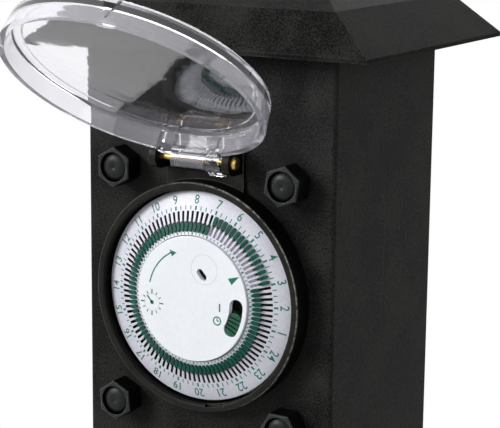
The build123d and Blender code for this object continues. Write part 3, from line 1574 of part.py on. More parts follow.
# Terminal block on the inside of the rear wall, and its clamping screws
block_plane = Plane(origin=(0, back_y - column_wall, block_rise), x_dir=(1, 0, 0), z_dir=(0, -1, 0))
with BuildPart() as terminal_block:
    with BuildSketch(block_plane):
        Rectangle(block_body_width, block_body_height)
    extrude(amount=block_body_depth - block_step_depth)
    with BuildSketch(block_plane):
        Rectangle(block_body_width, block_body_height - 2 * block_step_height)
    extrude(amount=block_body_depth)
    with BuildSketch(block_plane.offset(block_body_depth)):
        with GridLocations(block_pitch, block_row_spacing, block_poles, 2):
            Circle(block_screw_radius + screw_gap)
    extrude(amount=block_wire_depth - block_body_depth, mode=Mode.SUBTRACT)
    with BuildSketch(Plane.XY.offset(block_rise - block_body_height / 2)):
        with Locations((0, back_y - column_wall - block_wire_depth)):
            with GridLocations(block_pitch, 0, block_poles, 1):
                Circle(block_wire_radius)
    extrude(amount=block_body_height, mode=Mode.SUBTRACT)
keep(terminal_block.part, "terminal_block")

screw_top = block_body_depth - block_screw_sink
with BuildPart() as terminal_screws:
    with BuildSketch(block_plane.offset(screw_top)):
        with GridLocations(block_pitch, block_row_spacing, block_poles, 2):
            Circle(block_screw_radius)
    extrude(amount=block_wire_depth + block_wire_radius - screw_top)
    with BuildSketch(block_plane.offset(screw_top)):
        with GridLocations(block_pitch, block_row_spacing, block_poles, 2):
            Rectangle(2 * block_screw_radius, cross_width)
    extrude(amount=-cross_depth, mode=Mode.SUBTRACT)
keep(terminal_screws.part, "terminal_screws")
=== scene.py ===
"""Looks of the garden socket post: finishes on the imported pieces, dial prints, light and camera."""

import logging
import math
from dataclasses import dataclass
from enum import Enum
from typing import Callable, Iterable, Sequence

import bmesh
import bpy
from mathutils import Matrix, Vector


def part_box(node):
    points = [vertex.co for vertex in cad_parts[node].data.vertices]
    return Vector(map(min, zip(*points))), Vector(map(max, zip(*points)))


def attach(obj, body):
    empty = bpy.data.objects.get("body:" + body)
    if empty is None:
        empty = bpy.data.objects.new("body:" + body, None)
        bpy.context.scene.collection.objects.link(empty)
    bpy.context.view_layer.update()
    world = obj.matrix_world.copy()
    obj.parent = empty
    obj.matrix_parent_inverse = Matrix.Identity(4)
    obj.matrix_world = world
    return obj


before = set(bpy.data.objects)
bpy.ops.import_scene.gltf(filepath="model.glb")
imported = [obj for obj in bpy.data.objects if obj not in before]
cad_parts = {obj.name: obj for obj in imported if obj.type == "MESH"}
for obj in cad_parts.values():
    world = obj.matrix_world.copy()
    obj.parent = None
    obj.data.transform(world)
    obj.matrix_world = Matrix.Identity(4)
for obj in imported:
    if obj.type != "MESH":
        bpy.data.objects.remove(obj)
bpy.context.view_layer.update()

log = logging.getLogger("scene")
MM = 0.001
RISING, FALLING = (0.0, 1.0), (1.0, 0.0)

Point = tuple[float, float]
Place = tuple[float, float, float]
Socket = bpy.types.NodeSocket


def corners(node: str) -> tuple[list[float], list[float]]:
    """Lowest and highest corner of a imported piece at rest.

    Args:
        node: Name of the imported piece.

    Returns:
        The two corners in millimetres, to a thousandth.
    """
    low, high = ([round(v / MM, 3) for v in corner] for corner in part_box(node))
    return low, high


def metres(*sizes: float) -> tuple[float, ...]:
    """Turn millimetres into the metres of the shared frame.

    Args:
        *sizes: Sizes in millimetres.

    Returns:
        The same sizes in metres.
    """
    return tuple(size * MM for size in sizes)


# The column's front face, and the height of the timer's axis.
FRONT_Y = corners("front_shell")[0][1]
RING_LOW, RING_HIGH = corners("dial_ring")
TIMER_Z = (RING_LOW[2] + RING_HIGH[2]) / 2
# The dial's cone: an inner and an outer radius, and how far it stands out of the front face there.
CONE_INNER, CONE_OUT = 20.6, FRONT_Y - RING_LOW[1]
CONE_OUTER, CONE_RIM = RING_HIGH[0], 4.0


def srgb(code: str) -> tuple[float, float, float, float]:
    """Turn an sRGB hex code into the linear colour that Blender's sockets take.

    Args:
        code: Six hex digits after a hash sign.

    Returns:
        Linear red, green and blue, and an alpha of one.
    """
    values = [int(code[i:i + 2], 16) / 255 for i in (1, 3, 5)]
    linear = [v / 12.92 if v <= 0.04045 else ((v + 0.055) / 1.055) ** 2.4 for v in values]
    return (*linear, 1.0)


def polar(radius: float, turn: float) -> Point:
    """Point at a radius and an angle in degrees.

    Args:
        radius: Distance from the origin.
        turn: Angle from the X axis, anticlockwise.

    Returns:
        The point's two coordinates.
    """
    return radius * math.cos(math.radians(turn)), radius * math.sin(math.radians(turn))


class Tree:
    """Node tree of one material, with a short way to add nodes and links.

    Attributes:
        bevel_samples: Rays that find the edges near a point.
        edge_cosines: Cosine between true and rounded normal where an edge starts, and on it.
    """
    bevel_samples: int = 6
    edge_cosines: Point = (0.999, 0.93)

    def __init__(self, name: str) -> None:
        """Start an empty tree.

        Args:
            name: Name of the material.
        """
        self.material = bpy.data.materials.new(name)
        self.material.use_nodes = True
        self.tree = self.material.node_tree
        self.tree.nodes.clear()
        self.output = self.add("ShaderNodeOutputMaterial")

    def add(self, kind: str, links: dict | None = None, **settings) -> bpy.types.Node:
        """Add a node with its settings and links.

        Args:
            kind: Blender's name for the node type.
            links: Input name or index to the output socket that feeds it.
            **settings: Node attributes, or input values by name with _ for a space.

        Returns:
            The new node.
        """
        node = self.tree.nodes.new(kind)
        for key, value in settings.items():
            if hasattr(node, key):
                setattr(node, key, value)
            else:
                node.inputs[key.replace("_", " ")].default_value = value
        for key, socket in (links or {}).items():
            self.tree.links.new(socket, node.inputs[key])
        return node

    def place(self) -> Socket:
        """Object coordinates, which are metres in the shared frame.

        Returns:
            The coordinate socket.
        """
        return self.add("ShaderNodeTexCoord").outputs["Object"]

    def shift(self, origin: Place) -> Socket:
        """Object coordinates measured from another origin.

        Args:
            origin: The new origin in millimetres.

        Returns:
            The vector socket.
        """
        node = self.add("ShaderNodeVectorMath", {0: self.place()}, operation="SUBTRACT")
        node.inputs[1].default_value = metres(*origin)
        return node.outputs[0]

    def scale(self, vector: Socket, factors: Place) -> Socket:
        """Vector with its three parts scaled.

        Args:
            vector: The vector socket.
            factors: One factor for each part.

        Returns:
            The scaled vector socket.
        """
        node = self.add("ShaderNodeVectorMath", {0: vector}, operation="MULTIPLY")
        node.inputs[1].default_value = factors
        return node.outputs[0]

    def length(self, vector: Socket) -> Socket:
        """Length of a vector.

        Args:
            vector: The vector socket.

        Returns:
            The value socket.
        """
        return self.add("ShaderNodeVectorMath", {0: vector}, operation="LENGTH").outputs["Value"]

    def product(self, first: Socket, second: Socket) -> Socket:
        """Product of two values.

        Args:
            first: One value socket.
            second: The other value socket.

        Returns:
            The value socket.
        """
        return self.add("ShaderNodeMath", {0: first, 1: second}, operation="MULTIPLY").outputs[0]

    def noise(self, size_mm: float, detail: float, rough: float = 0.55) -> Socket:
        """Noise whose features have a real size.

        Args:
            size_mm: Size of the largest features.
            detail: Number of octaves.
            rough: Strength of the finer octaves.

        Returns:
            The value socket.
        """
        return self.add("ShaderNodeTexNoise", {"Vector": self.place()}, Scale=1 / (size_mm * MM),
                        Detail=detail, Roughness=rough).outputs["Fac"]

    def ramp(self, value: Socket, stops: Sequence[tuple[float, str]]) -> Socket:
        """Colours along a value.

        Args:
            value: The value socket.
            stops: Positions and hex colours.

        Returns:
            The colour socket.
        """
        node = self.add("ShaderNodeValToRGB", {"Fac": value})
        elements = node.color_ramp.elements
        while len(elements) < len(stops):
            elements.new(0.5)
        for element, (position, code) in zip(elements, stops):
            element.position = position
            element.color = srgb(code)
        return node.outputs["Color"]

    def flat(self, code: str) -> Socket:
        """One plain colour.

        Args:
            code: Hex colour.

        Returns:
            The colour socket.
        """
        node = self.add("ShaderNodeRGB")
        node.outputs[0].default_value = srgb(code)
        return node.outputs[0]

    def span(self, value: Socket, source: Point, target: Point) -> Socket:
        """Map one range of a value to another, held at its ends.

        Args:
            value: The value socket.
            source: Range read.
            target: Range given.

        Returns:
            The mapped value socket.
        """
        return self.add("ShaderNodeMapRange", {"Value": value}, From_Min=source[0],
                        From_Max=source[1], To_Min=target[0], To_Max=target[1]).outputs["Result"]

    def mix(self, factor: Socket, low: Socket, high: Socket) -> Socket:
        """Mix two colours.

        Args:
            factor: Share of the second colour.
            low: First colour.
            high: Second colour.

        Returns:
            The mixed colour socket.
        """
        node = self.add("ShaderNodeMix", data_type="RGBA")
        for socket, source in ((node.inputs[0], factor), (node.inputs[6], low),
                               (node.inputs[7], high)):
            self.tree.links.new(source, socket)
        return node.outputs[2]

    def part(self, vector: Socket, axis: str) -> Socket:
        """One part of a vector.

        Args:
            vector: The vector socket.
            axis: X, Y or Z.

        Returns:
            The value socket.
        """
        return self.add("ShaderNodeSeparateXYZ", {0: vector}).outputs[axis]

    def magnitude(self, value: Socket) -> Socket:
        """A value without its sign.

        Args:
            value: The value socket.

        Returns:
            The value socket.
        """
        return self.add("ShaderNodeMath", {0: value}, operation="ABSOLUTE").outputs[0]

    def timer_place(self) -> Socket:
        """Object coordinates measured from the timer's axis, where it meets the front face.

        Returns:
            The vector socket.
        """
        return self.shift((0.0, FRONT_Y, TIMER_Z))

    def timer_radius(self) -> Socket:
        """Distance from the timer's axis.

        Returns:
            The value socket.
        """
        return self.length(self.scale(self.timer_place(), (1.0, 0.0, 1.0)))

    def chips(self, size_mm: float, span: Point, shares: Point) -> Socket:
        """Mask that breaks a worn line into chips.

        Args:
            size_mm: Size of the largest chips.
            span: Range of the noise that is used.
            shares: Mask at the two ends of that range.

        Returns:
            The value socket.
        """
        return self.span(self.noise(size_mm, detail=5.0, rough=0.7), span, shares)

    def blend(self, factor: Socket, low: Socket, high: Socket) -> Socket:
        """Mix two shaders.

        Args:
            factor: Share of the second shader.
            low: First shader.
            high: Second shader.

        Returns:
            The mixed shader's socket.
        """
        return self.add("ShaderNodeMixShader", {0: factor, 1: low, 2: high}).outputs[0]

    def edges(self, size_mm: float) -> tuple[Socket, Socket]:
        """Rounded normal near edges, and a mask that is one on the edges.

        Args:
            size_mm: How far from the edge the rounding reaches.

        Returns:
            The normal socket and the mask socket.
        """
        bevel = self.add("ShaderNodeBevel", samples=self.bevel_samples,
                         Radius=size_mm * MM).outputs["Normal"]
        normal = self.add("ShaderNodeNewGeometry").outputs["Normal"]
        dot = self.add("ShaderNodeVectorMath", {0: bevel, 1: normal},
                       operation="DOT_PRODUCT").outputs["Value"]
        return bevel, self.span(dot, self.edge_cosines, RISING)

    def bump(self, height: Socket, depth_mm: float,
             normal: Socket | None = None) -> Socket:
        """Bump from a height between zero and one.

        Args:
            height: The height socket.
            depth_mm: Depth of the full height.
            normal: Normal to start from, if any.

        Returns:
            The normal socket.
        """
        links = {"Height": height}
        if normal is not None:
            links["Normal"] = normal
        return self.add("ShaderNodeBump", links, Distance=depth_mm * MM, Strength=1.0).outputs["Normal"]

    def close(self, shader: Socket) -> bpy.types.Material:
        """Link the surface shader and hand the material over.

        Args:
            shader: The shader socket.

        Returns:
            The finished material.
        """
        self.tree.links.new(shader, self.output.inputs["Surface"])
        return self.material


@dataclass(frozen=True)
class Plastic:
    """Moulded plastic: a colour that drifts a little, a fine grain, and edges that may be worn.

    The grain breaks up the gloss as a spark-eroded mould does, so that flat faces look like leather
    and not like card. The drift keeps a large face from being one even grey. A flank colour is painted
    shade on walls that look away from the front, so that they look nearly black.
    """
    name: str
    dark: str
    light: str
    roughness: float
    grain_mm: float
    grain_depth_mm: float
    drift_mm: float
    edge_mm: float = 0.0
    edge_light: str = ""
    edge_share: float = 0.0
    seam: bool = False
    specular: float = 0.5
    flank: str = ""
    blend_span: Point = (0.84, 1.16)
    chip_mm: float = 2.2
    chip_span: Point = (0.38, 0.62)
    chip_shares: Point = (0.25, 1.0)
    seam_mm: Point = (0.06, 0.18)
    seam_shares: Point = (0.35, 0.0)
    seam_dark: str = "#050505"
    flank_span: Point = (-0.75, -0.3)
    gloss_span: Point = (0.3, 0.7)
    gloss_drift: float = 0.05

    def colour(self, t: Tree, grain: Socket, drift: Socket) -> Socket:
        """Colour of a plain face.

        Args:
            t: The material's tree.
            grain: Fine noise.
            drift: Coarse noise.

        Returns:
            The colour socket.
        """
        blend = t.add("ShaderNodeMath", {0: grain, 1: drift}, operation="ADD").outputs[0]
        return t.ramp(t.span(blend, self.blend_span, RISING), ((0.0, self.dark), (1.0, self.light)))

    def make(self) -> bpy.types.Material:
        """Build the material.

        Returns:
            The material.
        """
        t = Tree(self.name)
        grain = t.noise(self.grain_mm, detail=2.0)
        drift = t.noise(self.drift_mm, detail=3.0)
        colour = self.colour(t, grain, drift)
        normal = None
        if self.edge_mm:
            normal, mask = t.edges(self.edge_mm)
            if self.edge_share:
                chips = t.chips(self.chip_mm, self.chip_span, self.chip_shares)
                worn = t.span(t.product(mask, chips), RISING, (0.0, self.edge_share))
                colour = t.mix(worn, colour, t.flat(self.edge_light))
        if self.seam:
            away = t.magnitude(t.part(t.place(), "Y"))
            line = t.span(away, metres(*self.seam_mm), self.seam_shares)
            colour = t.mix(line, colour, t.flat(self.seam_dark))
        # Painted shade: walls that look away from the front turn to the nearly black flank colour.
        if self.flank:
            facing = t.part(t.add("ShaderNodeNewGeometry").outputs["Normal"], "Y")
            colour = t.mix(t.span(facing, self.flank_span, RISING), colour, t.flat(self.flank))
        normal = t.bump(grain, self.grain_depth_mm, normal)
        gloss = t.span(drift, self.gloss_span,
                       (self.roughness - self.gloss_drift, self.roughness + self.gloss_drift))
        shader = t.add("ShaderNodeBsdfPrincipled", {"Base Color": colour, "Roughness": gloss,
                                                    "Normal": normal})
        shader.inputs["Specular IOR Level"].default_value = self.specular
        return t.close(shader.outputs["BSDF"])


@dataclass(frozen=True)
class BezelPlastic(Plastic):
    """Dark plastic of the timer's ring, with a pale line along the outer edge of its face.

    The pale line is broken up by chips, and it is plainest towards the upper right.
    """
    line_mm: Point = (36.9, 37.45)
    line_blur_mm: float = 0.2
    line_chip_mm: float = 1.8
    line_chip_span: Point = (0.4, 0.66)
    line_chip_shares: Point = (0.05, 0.8)
    rubbed: str = "#b9b9af"
    rubbed_side: Place = (0.95, 0.0, 0.3)
    rubbed_reach_mm: float = 32.0
    rubbed_shares: Point = (0.12, 1.0)

    def colour(self, t: Tree, grain: Socket, drift: Socket) -> Socket:
        """Colour of the ring with its pale edge line.

        Args:
            t: The material's tree.
            grain: Fine noise.
            drift: Coarse noise.

        Returns:
            The colour socket.
        """
        face = super().colour(t, grain, drift)
        low, high = self.line_mm
        radius = t.timer_radius()
        rise = t.span(radius, metres(low, low + self.line_blur_mm), RISING)
        fall = t.span(radius, metres(high - self.line_blur_mm, high), FALLING)
        chips = t.chips(self.line_chip_mm, self.line_chip_span, self.line_chip_shares)
        lean = t.add("ShaderNodeVectorMath", {0: t.timer_place()}, operation="DOT_PRODUCT")
        lean.inputs[1].default_value = self.rubbed_side
        side = t.span(lean.outputs["Value"], metres(0.0, self.rubbed_reach_mm), self.rubbed_shares)
        line = t.product(t.product(rise, fall), t.product(chips, side))
        return t.mix(line, face, t.flat(self.rubbed))


@dataclass(frozen=True)
class TappetPlastic(Plastic):
    """Green plastic of the tappets, with painted shade that darkens the ends of their heads by the
    middle of the track.
    """
    middle_mm: float = 25.0
    shade_mm: Point = (0.35, 0.65)
    shade_shares: Point = (0.9, 0.0)
    shade: str = "#08110e"

    def colour(self, t: Tree, grain: Socket, drift: Socket) -> Socket:
        """Colour of the heads, with painted shade near the middle of the track.

        Args:
            t: The material's tree.
            grain: Fine noise.
            drift: Coarse noise.

        Returns:
            The colour socket.
        """
        face = super().colour(t, grain, drift)
        # Painted shade: the heads turn nearly black near the middle of the track.
        away = t.span(t.timer_radius(), metres(self.middle_mm - 1, self.middle_mm + 1), (-1.0, 1.0))
        near = t.span(t.magnitude(away), self.shade_mm, self.shade_shares)
        return t.mix(near, face, t.flat(self.shade))


@dataclass(frozen=True)
class RibbedPlastic(Plastic):
    """Green plastic of the slider, with painted shade in the grooves between its ribs."""
    crest_mm: float = 8.42
    dip_mm: float = 0.1
    groove: str = "#082218"

    def colour(self, t: Tree, grain: Socket, drift: Socket) -> Socket:
        """Colour of the ribs, with painted shade in the grooves between them.

        Args:
            t: The material's tree.
            grain: Fine noise.
            drift: Coarse noise.

        Returns:
            The colour socket.
        """
        face = super().colour(t, grain, drift)
        # Painted shade: faces sunk below the crests of the ribs turn dark.
        sunk = t.span(t.part(t.timer_place(), "Y"), metres(-self.crest_mm, self.dip_mm - self.crest_mm),
                      RISING)
        return t.mix(sunk, face, t.flat(self.groove))


@dataclass(frozen=True)
class DialPlastic(Plastic):
    """White plastic of the dial ring, whose slots are open to the dark in their outer half, where they
    are painted nearly black as painted shade.

    The inner half of each slot has a light grey floor. The tappets cover one half or the other, so
    that the dial shows black dashes where they are in and grey ones where they are out.
    """
    depth_mm: Point = (0.15, 0.3)
    split_mm: float = 25.0
    split_blur_mm: float = 0.5
    end_mm: float = 28.1
    end_blur_mm: float = 0.2
    floor: str = "#d6d5e0"
    hole: str = "#070808"

    def colour(self, t: Tree, grain: Socket, drift: Socket) -> Socket:
        """Colour of the ring's faces and of the inside of its slots, with painted shade in their outer
        half.

        Args:
            t: The material's tree.
            grain: Fine noise.
            drift: Coarse noise.

        Returns:
            The colour socket.
        """
        face = super().colour(t, grain, drift)
        radius = t.timer_radius()
        cone = t.span(radius, metres(CONE_INNER, CONE_OUTER), metres(CONE_OUT, CONE_RIM))
        back = t.part(t.timer_place(), "Y")
        depth = t.add("ShaderNodeMath", {0: cone, 1: back}, operation="ADD").outputs[0]
        sunk = t.span(depth, metres(*self.depth_mm), RISING)
        within = t.span(radius, metres(self.end_mm, self.end_mm + self.end_blur_mm), FALLING)
        # Painted shade: the outer half of each slot turns nearly black, while the inner half keeps a
        # light floor.
        low, high = self.split_mm - self.split_blur_mm, self.split_mm + self.split_blur_mm
        slot = t.ramp(t.span(radius, metres(low, high), RISING), ((0.0, self.floor), (1.0, self.hole)))
        return t.mix(t.product(sunk, within), face, slot)


@dataclass(frozen=True)
class ClearPlastic:
    """Clear moulded lid: glass-like, slightly wavy, with a milky lavender cast in its thick rim.

    Shadow rays pass mostly through, because the real lid throws hardly any shade. The rim is found
    by its distance from the lid's own axis, which is tilted while the lid stands open.
    """
    name: str
    colour: str
    haze: str
    middle: Place
    axis: Place
    rim_mm: float
    roughness: float = 0.03
    index: float = 1.49
    wave_mm: float = 16.0
    wave_depth_mm: float = 0.12
    ripple_mm: float = 1.2
    ripple_depth_mm: float = 0.002
    gloss_span: Point = (0.35, 0.65)
    gloss_shares: Point = (0.6, 1.6)
    milk_rise_mm: float = 1.5
    milk_fall_mm: Point = (2.8, 3.2)
    milk_share: float = 0.1
    shadow: str = "#f7f7f9"

    def make(self) -> bpy.types.Material:
        """Build the material.

        Returns:
            The material.
        """
        t = Tree(self.name)
        ripple = t.noise(self.ripple_mm, detail=2.0)
        normal = t.bump(ripple, self.ripple_depth_mm,
                        t.bump(t.noise(self.wave_mm, detail=2.0), self.wave_depth_mm))
        gloss = t.span(ripple, self.gloss_span, tuple(self.roughness * s for s in self.gloss_shares))
        shader = t.add("ShaderNodeBsdfPrincipled", {"Roughness": gloss, "Normal": normal},
                       Base_Color=srgb(self.colour), IOR=self.index, Transmission_Weight=1.0)
        arm = t.add("ShaderNodeVectorMath", {0: t.shift(self.middle)}, operation="CROSS_PRODUCT")
        arm.inputs[1].default_value = self.axis
        reach = t.length(arm.outputs[0])
        rise = t.span(reach, metres(self.rim_mm - self.milk_rise_mm, self.rim_mm),
                      (0.0, self.milk_share))
        fall = t.span(reach, metres(*(self.rim_mm + blur for blur in self.milk_fall_mm)), FALLING)
        cloud = t.add("ShaderNodeBsdfDiffuse", Color=srgb(self.haze))
        body = t.blend(t.product(rise, fall), shader.outputs[0], cloud.outputs[0])
        passing = t.add("ShaderNodeBsdfTransparent", Color=srgb(self.shadow))
        seen = t.add("ShaderNodeLightPath").outputs["Is Shadow Ray"]
        return t.close(t.blend(seen, body, passing.outputs[0]))


@dataclass(frozen=True)
class Metal:
    """Bare or plated metal: fine drawn scratches and small blotches in its gloss."""
    name: str
    colour: str
    dull: str
    roughness: float
    scratch_mm: Place = (8.0, 0.15, 0.15)
    scratch_depth_mm: float = 0.006
    blotch_mm: float = 2.5
    span: Point = (0.3, 0.7)
    gloss_shares: Point = (0.7, 1.4)

    def make(self) -> bpy.types.Material:
        """Build the material.

        Returns:
            The material.
        """
        t = Tree(self.name)
        stretched = t.add("ShaderNodeMapping", {"Vector": t.place()},
                          Scale=tuple(1 / s for s in metres(*self.scratch_mm))).outputs[0]
        lines = t.add("ShaderNodeTexNoise", {"Vector": stretched}, Scale=1.0, Detail=2.0).outputs["Fac"]
        blotch = t.span(t.noise(self.blotch_mm, detail=4.0), self.span, RISING)
        colour = t.ramp(blotch, ((0.0, self.dull), (1.0, self.colour)))
        gloss = t.span(lines, self.span, tuple(self.roughness * s for s in self.gloss_shares))
        normal = t.bump(lines, self.scratch_depth_mm)
        shader = t.add("ShaderNodeBsdfPrincipled", {"Base Color": colour, "Roughness": gloss,
                                                    "Normal": normal}, Metallic=1.0)
        return t.close(shader.outputs["BSDF"])


class Finish(Enum):
    """Every finish on the post, named for the real material."""
    # Spark-eroded ABS: a matt, leathery black with hardly any shine, and the shells' thin dark seam.
    COLUMN = Plastic("column_spark_plastic", "#030303", "#282826", 0.62, 0.65, 0.14, 20.0, 0.7,
                     seam=True, specular=0.1)
    # The same plastic on the roof, a little finer and duller, with its edges rubbed pale.
    ROOF = Plastic("roof_spark_plastic", "#0d0d0d", "#2c2c2a", 0.65, 0.55, 0.12, 24.0, 0.45,
                   "#77776f", 0.3, specular=0.03)
    # Moulded ABS of the timer's ring: smoother, faintly brown, with a broken pale line on its edge, and
    # painted shade that makes its walls turned from the front nearly black.
    BEZEL = BezelPlastic("bezel_plastic", "#131411", "#20211d", 0.45, 0.5, 0.03, 6.0, 0.3, "#85867c",
                         0.5, specular=0.1, flank="#030303")
    # Moulded nylon of the sleeves: satin grey fronts, scuffed corners, and flanks made nearly black by
    # painted shade.
    SLEEVE = Plastic("sleeve_plastic", "#242525", "#313232", 0.42, 0.4, 0.015, 4.0, 0.25, "#8c8d8c",
                     0.6, specular=0.12, flank="#050505")
    # Soft polyethylene of the domed caps: black, with a wide dull highlight.
    CAP = Plastic("cap_soft_plastic", "#0b0c0c", "#161818", 0.42, 0.3, 0.006, 3.0, specular=0.2)
    # Moulded polycarbonate of the dial: a cool, faintly violet white, with painted shade in the outer
    # half of its slots and light grey slot floors.
    DIAL = DialPlastic("dial_white_plastic", "#d0d0dc", "#dcdce6", 0.38, 0.9, 0.004, 12.0, 0.1)
    # The same plastic on the fixed disc, smoother and a purer white.
    DISC = Plastic("disc_white_plastic", "#eff3f7", "#f3f7fb", 0.34, 0.9, 0.003, 12.0, 0.15)
    # Acetal of the tappets: a deep blue-green, with painted shade that turns it black by the middle of
    # the track.
    TAPPET = TappetPlastic("tappet_green_plastic", "#0a3f34", "#155a4b", 0.45, 0.5, 0.004, 2.0, 0.06,
                           specular=0.15)
    # Acetal of the slider: a warmer green, with painted shade in the grooves between its ribs.
    SLIDER = RibbedPlastic("slider_green_plastic", "#154533", "#245c43", 0.42, 0.5, 0.004, 2.0, 0.1,
                           specular=0.25)
    # Acetal of the microswitch's plunger: a lighter green.
    PLUNGER = Plastic("plunger_green_plastic", "#245e45", "#37795a", 0.42, 0.5, 0.004, 2.0, 0.1)
    # Satin polyamide of the sockets and flaps: dark grey, smoother than the column.
    SOCKET = Plastic("socket_satin_plastic", "#141515", "#222323", 0.4, 0.5, 0.02, 10.0, 0.4,
                     specular=0.3)
    # Moulded polyamide of the gland, the top plate and the microswitch: plain satin black.
    BLACK = Plastic("black_plastic", "#0a0a0b", "#151516", 0.42, 0.5, 0.015, 6.0, 0.3, specular=0.3)
    # Moulded polycarbonate of the works: a warm white.
    WHITE = Plastic("housing_white_plastic", "#d6d6d1", "#e4e4df", 0.4, 0.6, 0.01, 8.0, 0.2)
    # Moulded polyamide of the terminal block: a greyer, duller white.
    BLOCK = Plastic("terminal_plastic", "#c6c6bf", "#d6d6cf", 0.45, 0.5, 0.01, 5.0, 0.2)
    # Moulded EPDM rubber: black and quite without shine.
    RUBBER = Plastic("seal_rubber", "#0b0b0b", "#161616", 0.75, 0.3, 0.01, 4.0, specular=0.3)
    # Pad-printed ink: a flat mid green on the numbers and the marks.
    INK = Plastic("green_ink", "#24705a", "#2f7f6a", 0.6, 0.5, 0.001, 2.0, specular=0.2)
    # The same ink where it is thin, as on the quarter ticks: paler.
    PALE_INK = Plastic("pale_green_ink", "#3f8371", "#558f80", 0.6, 0.5, 0.001, 2.0, specular=0.2)
    # A moulded hairline on the disc, drawn as painted shade: a grey only just darker than the white
    # round it.
    SHADE = Plastic("painted_shade_hairline", "#c6cbd3", "#d0d5dc", 0.5, 0.5, 0.001, 2.0)
    # Clear moulded polycarbonate: bright edges, a slight wave, and a milky rim.
    CLEAR = ClearPlastic("clear_lid_plastic", "#f8f7fb", "#e6e4ec", (0.0, -77.85, 298.21),
                         (0.0, 0.5807, 0.8141), 38.6)
    # Turned brass: a warm yellow metal with small dull blotches.
    BRASS = Metal("plain_brass", "#cfb26a", "#a98a48", 0.28)
    # Zinc-plated steel: a cool grey metal with fine drawn lines.
    STEEL = Metal("zinc_steel", "#b9babc", "#97989a", 0.34)
    # Drawn spring steel: a darker grey, with no grain that shows along the wire.
    WIRE = Metal("spring_wire", "#8f9093", "#6f7073", 0.28, (0.3, 0.3, 0.3))


class Dresser:
    """Gives finishes to objects, and makes each material once."""

    def __init__(self) -> None:
        """Start with no material made."""
        self.made: dict[Finish, bpy.types.Material] = {}

    def finish(self, piece: bpy.types.Object, finish: Finish) -> None:
        """Put one finish all over a piece.

        Args:
            piece: The object.
            finish: The finish.
        """
        if finish not in self.made:
            self.made[finish] = finish.value.make()
        if not piece.material_slots:
            piece.data.materials.append(None)
        for spot in piece.material_slots:
            spot.material = self.made[finish]

    def nodes(self, names: Iterable[str], finish: Finish) -> None:
        """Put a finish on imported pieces.

        Args:
            names: Node names.
            finish: The finish.
        """
        for name in names:
            self.finish(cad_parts[name], finish)
            log.info("%s: %s", name, finish.value.name)


class Stencil:
    """Flat printed shapes gathered in two dimensions, then laid on a surface of the dial.

    Attributes:
        letter_steps: Straight pieces in each curve of a letter.
        letter_gain: How far a letter's outline is moved outwards, as a share of its size.
        merge_m: Corners nearer than this become one.
    """
    letter_steps: int = 3
    letter_gain: float = 0.005
    merge_m: float = 1e-7

    def __init__(self) -> None:
        """Start with no shape."""
        self.faces: list[list[Point]] = []

    def bar(self, start: Point, end: Point, width: float) -> None:
        """Straight stroke.

        Args:
            start: First end.
            end: Other end.
            width: Stroke width.
        """
        along = Vector(end) - Vector(start)
        side = Vector((-along.y, along.x)).normalized() * width / 2
        a, b = Vector(start), Vector(end)
        self.faces.append([tuple(a - side), tuple(b - side), tuple(b + side), tuple(a + side)])

    def arc(self, centre: Point, radius: float, low: float, high: float, width: float,
            steps: int = 48) -> None:
        """Curved stroke.

        Args:
            centre: Centre of the arc.
            radius: Middle radius.
            low: First angle in degrees.
            high: Last angle in degrees.
            width: Stroke width.
            steps: Number of short pieces.
        """
        for i in range(steps):
            a, b = (low + (high - low) * j / steps for j in (i, i + 1))
            ring = [polar(radius - width / 2, a), polar(radius + width / 2, a),
                    polar(radius + width / 2, b), polar(radius - width / 2, b)]
            self.faces.append([(x + centre[0], z + centre[1]) for x, z in ring])

    def patch(self, points: Sequence[Point]) -> None:
        """Filled polygon.

        Args:
            points: Corners in order.
        """
        self.faces.append(list(points))

    def text(self, words: str, height: float, wide: float, radius: float, turn: float) -> None:
        """Words that stand on a circle, with their tops pointing outwards.

        Args:
            words: What to write.
            height: Height of a digit.
            wide: Width factor.
            radius: Radius at the middle of the words.
            turn: Angle of their middle in degrees.
        """
        curve = bpy.data.curves.new("words", "FONT")
        curve.body = words
        curve.align_x = "CENTER"
        curve.align_y = "CENTER"
        curve.resolution_u = self.letter_steps
        curve.offset = self.letter_gain
        holder = bpy.data.objects.new("words", curve)
        mesh = bpy.data.meshes.new_from_object(holder)
        heights = [v.co.y for v in mesh.vertices]
        middle = (max(heights) + min(heights)) / 2
        scale = height / (max(heights) - min(heights))
        spots = [polar(radius + (v.co.y - middle) * scale,
                       turn - math.degrees(v.co.x * scale * wide / radius)) for v in mesh.vertices]
        self.faces.extend([spots[i] for i in face.vertices] for face in mesh.polygons)
        bpy.data.objects.remove(holder)
        bpy.data.curves.remove(curve)
        bpy.data.meshes.remove(mesh)

    def lay(self, name: str, out: Callable[[float], float], lift: float = 0.03
            ) -> bpy.types.Object:
        """Lay the shapes on a surface of revolution about the timer's axis.

        Args:
            name: Name of the new piece.
            out: How far the surface stands out of the column's face at a radius.
            lift: Ink thickness.

        Returns:
            The new piece, a thin closed print.
        """
        mesh = bmesh.new()
        for face in self.faces:
            mesh.faces.new([mesh.verts.new(metres(x, FRONT_Y - out(math.hypot(x, z)), z + TIMER_Z))
                            for x, z in face])
        bmesh.ops.remove_doubles(mesh, verts=mesh.verts, dist=self.merge_m)
        bmesh.ops.recalc_face_normals(mesh, faces=mesh.faces)
        flipped = [f for f in mesh.faces if f.normal.y > 0]
        bmesh.ops.reverse_faces(mesh, faces=flipped)
        grown = bmesh.ops.extrude_face_region(mesh, geom=mesh.faces[:])
        moved = [v for v in grown["geom"] if isinstance(v, bmesh.types.BMVert)]
        bmesh.ops.translate(mesh, verts=moved, vec=(0, -lift * MM, 0))
        bmesh.ops.recalc_face_normals(mesh, faces=mesh.faces)
        return new_piece(name, mesh)


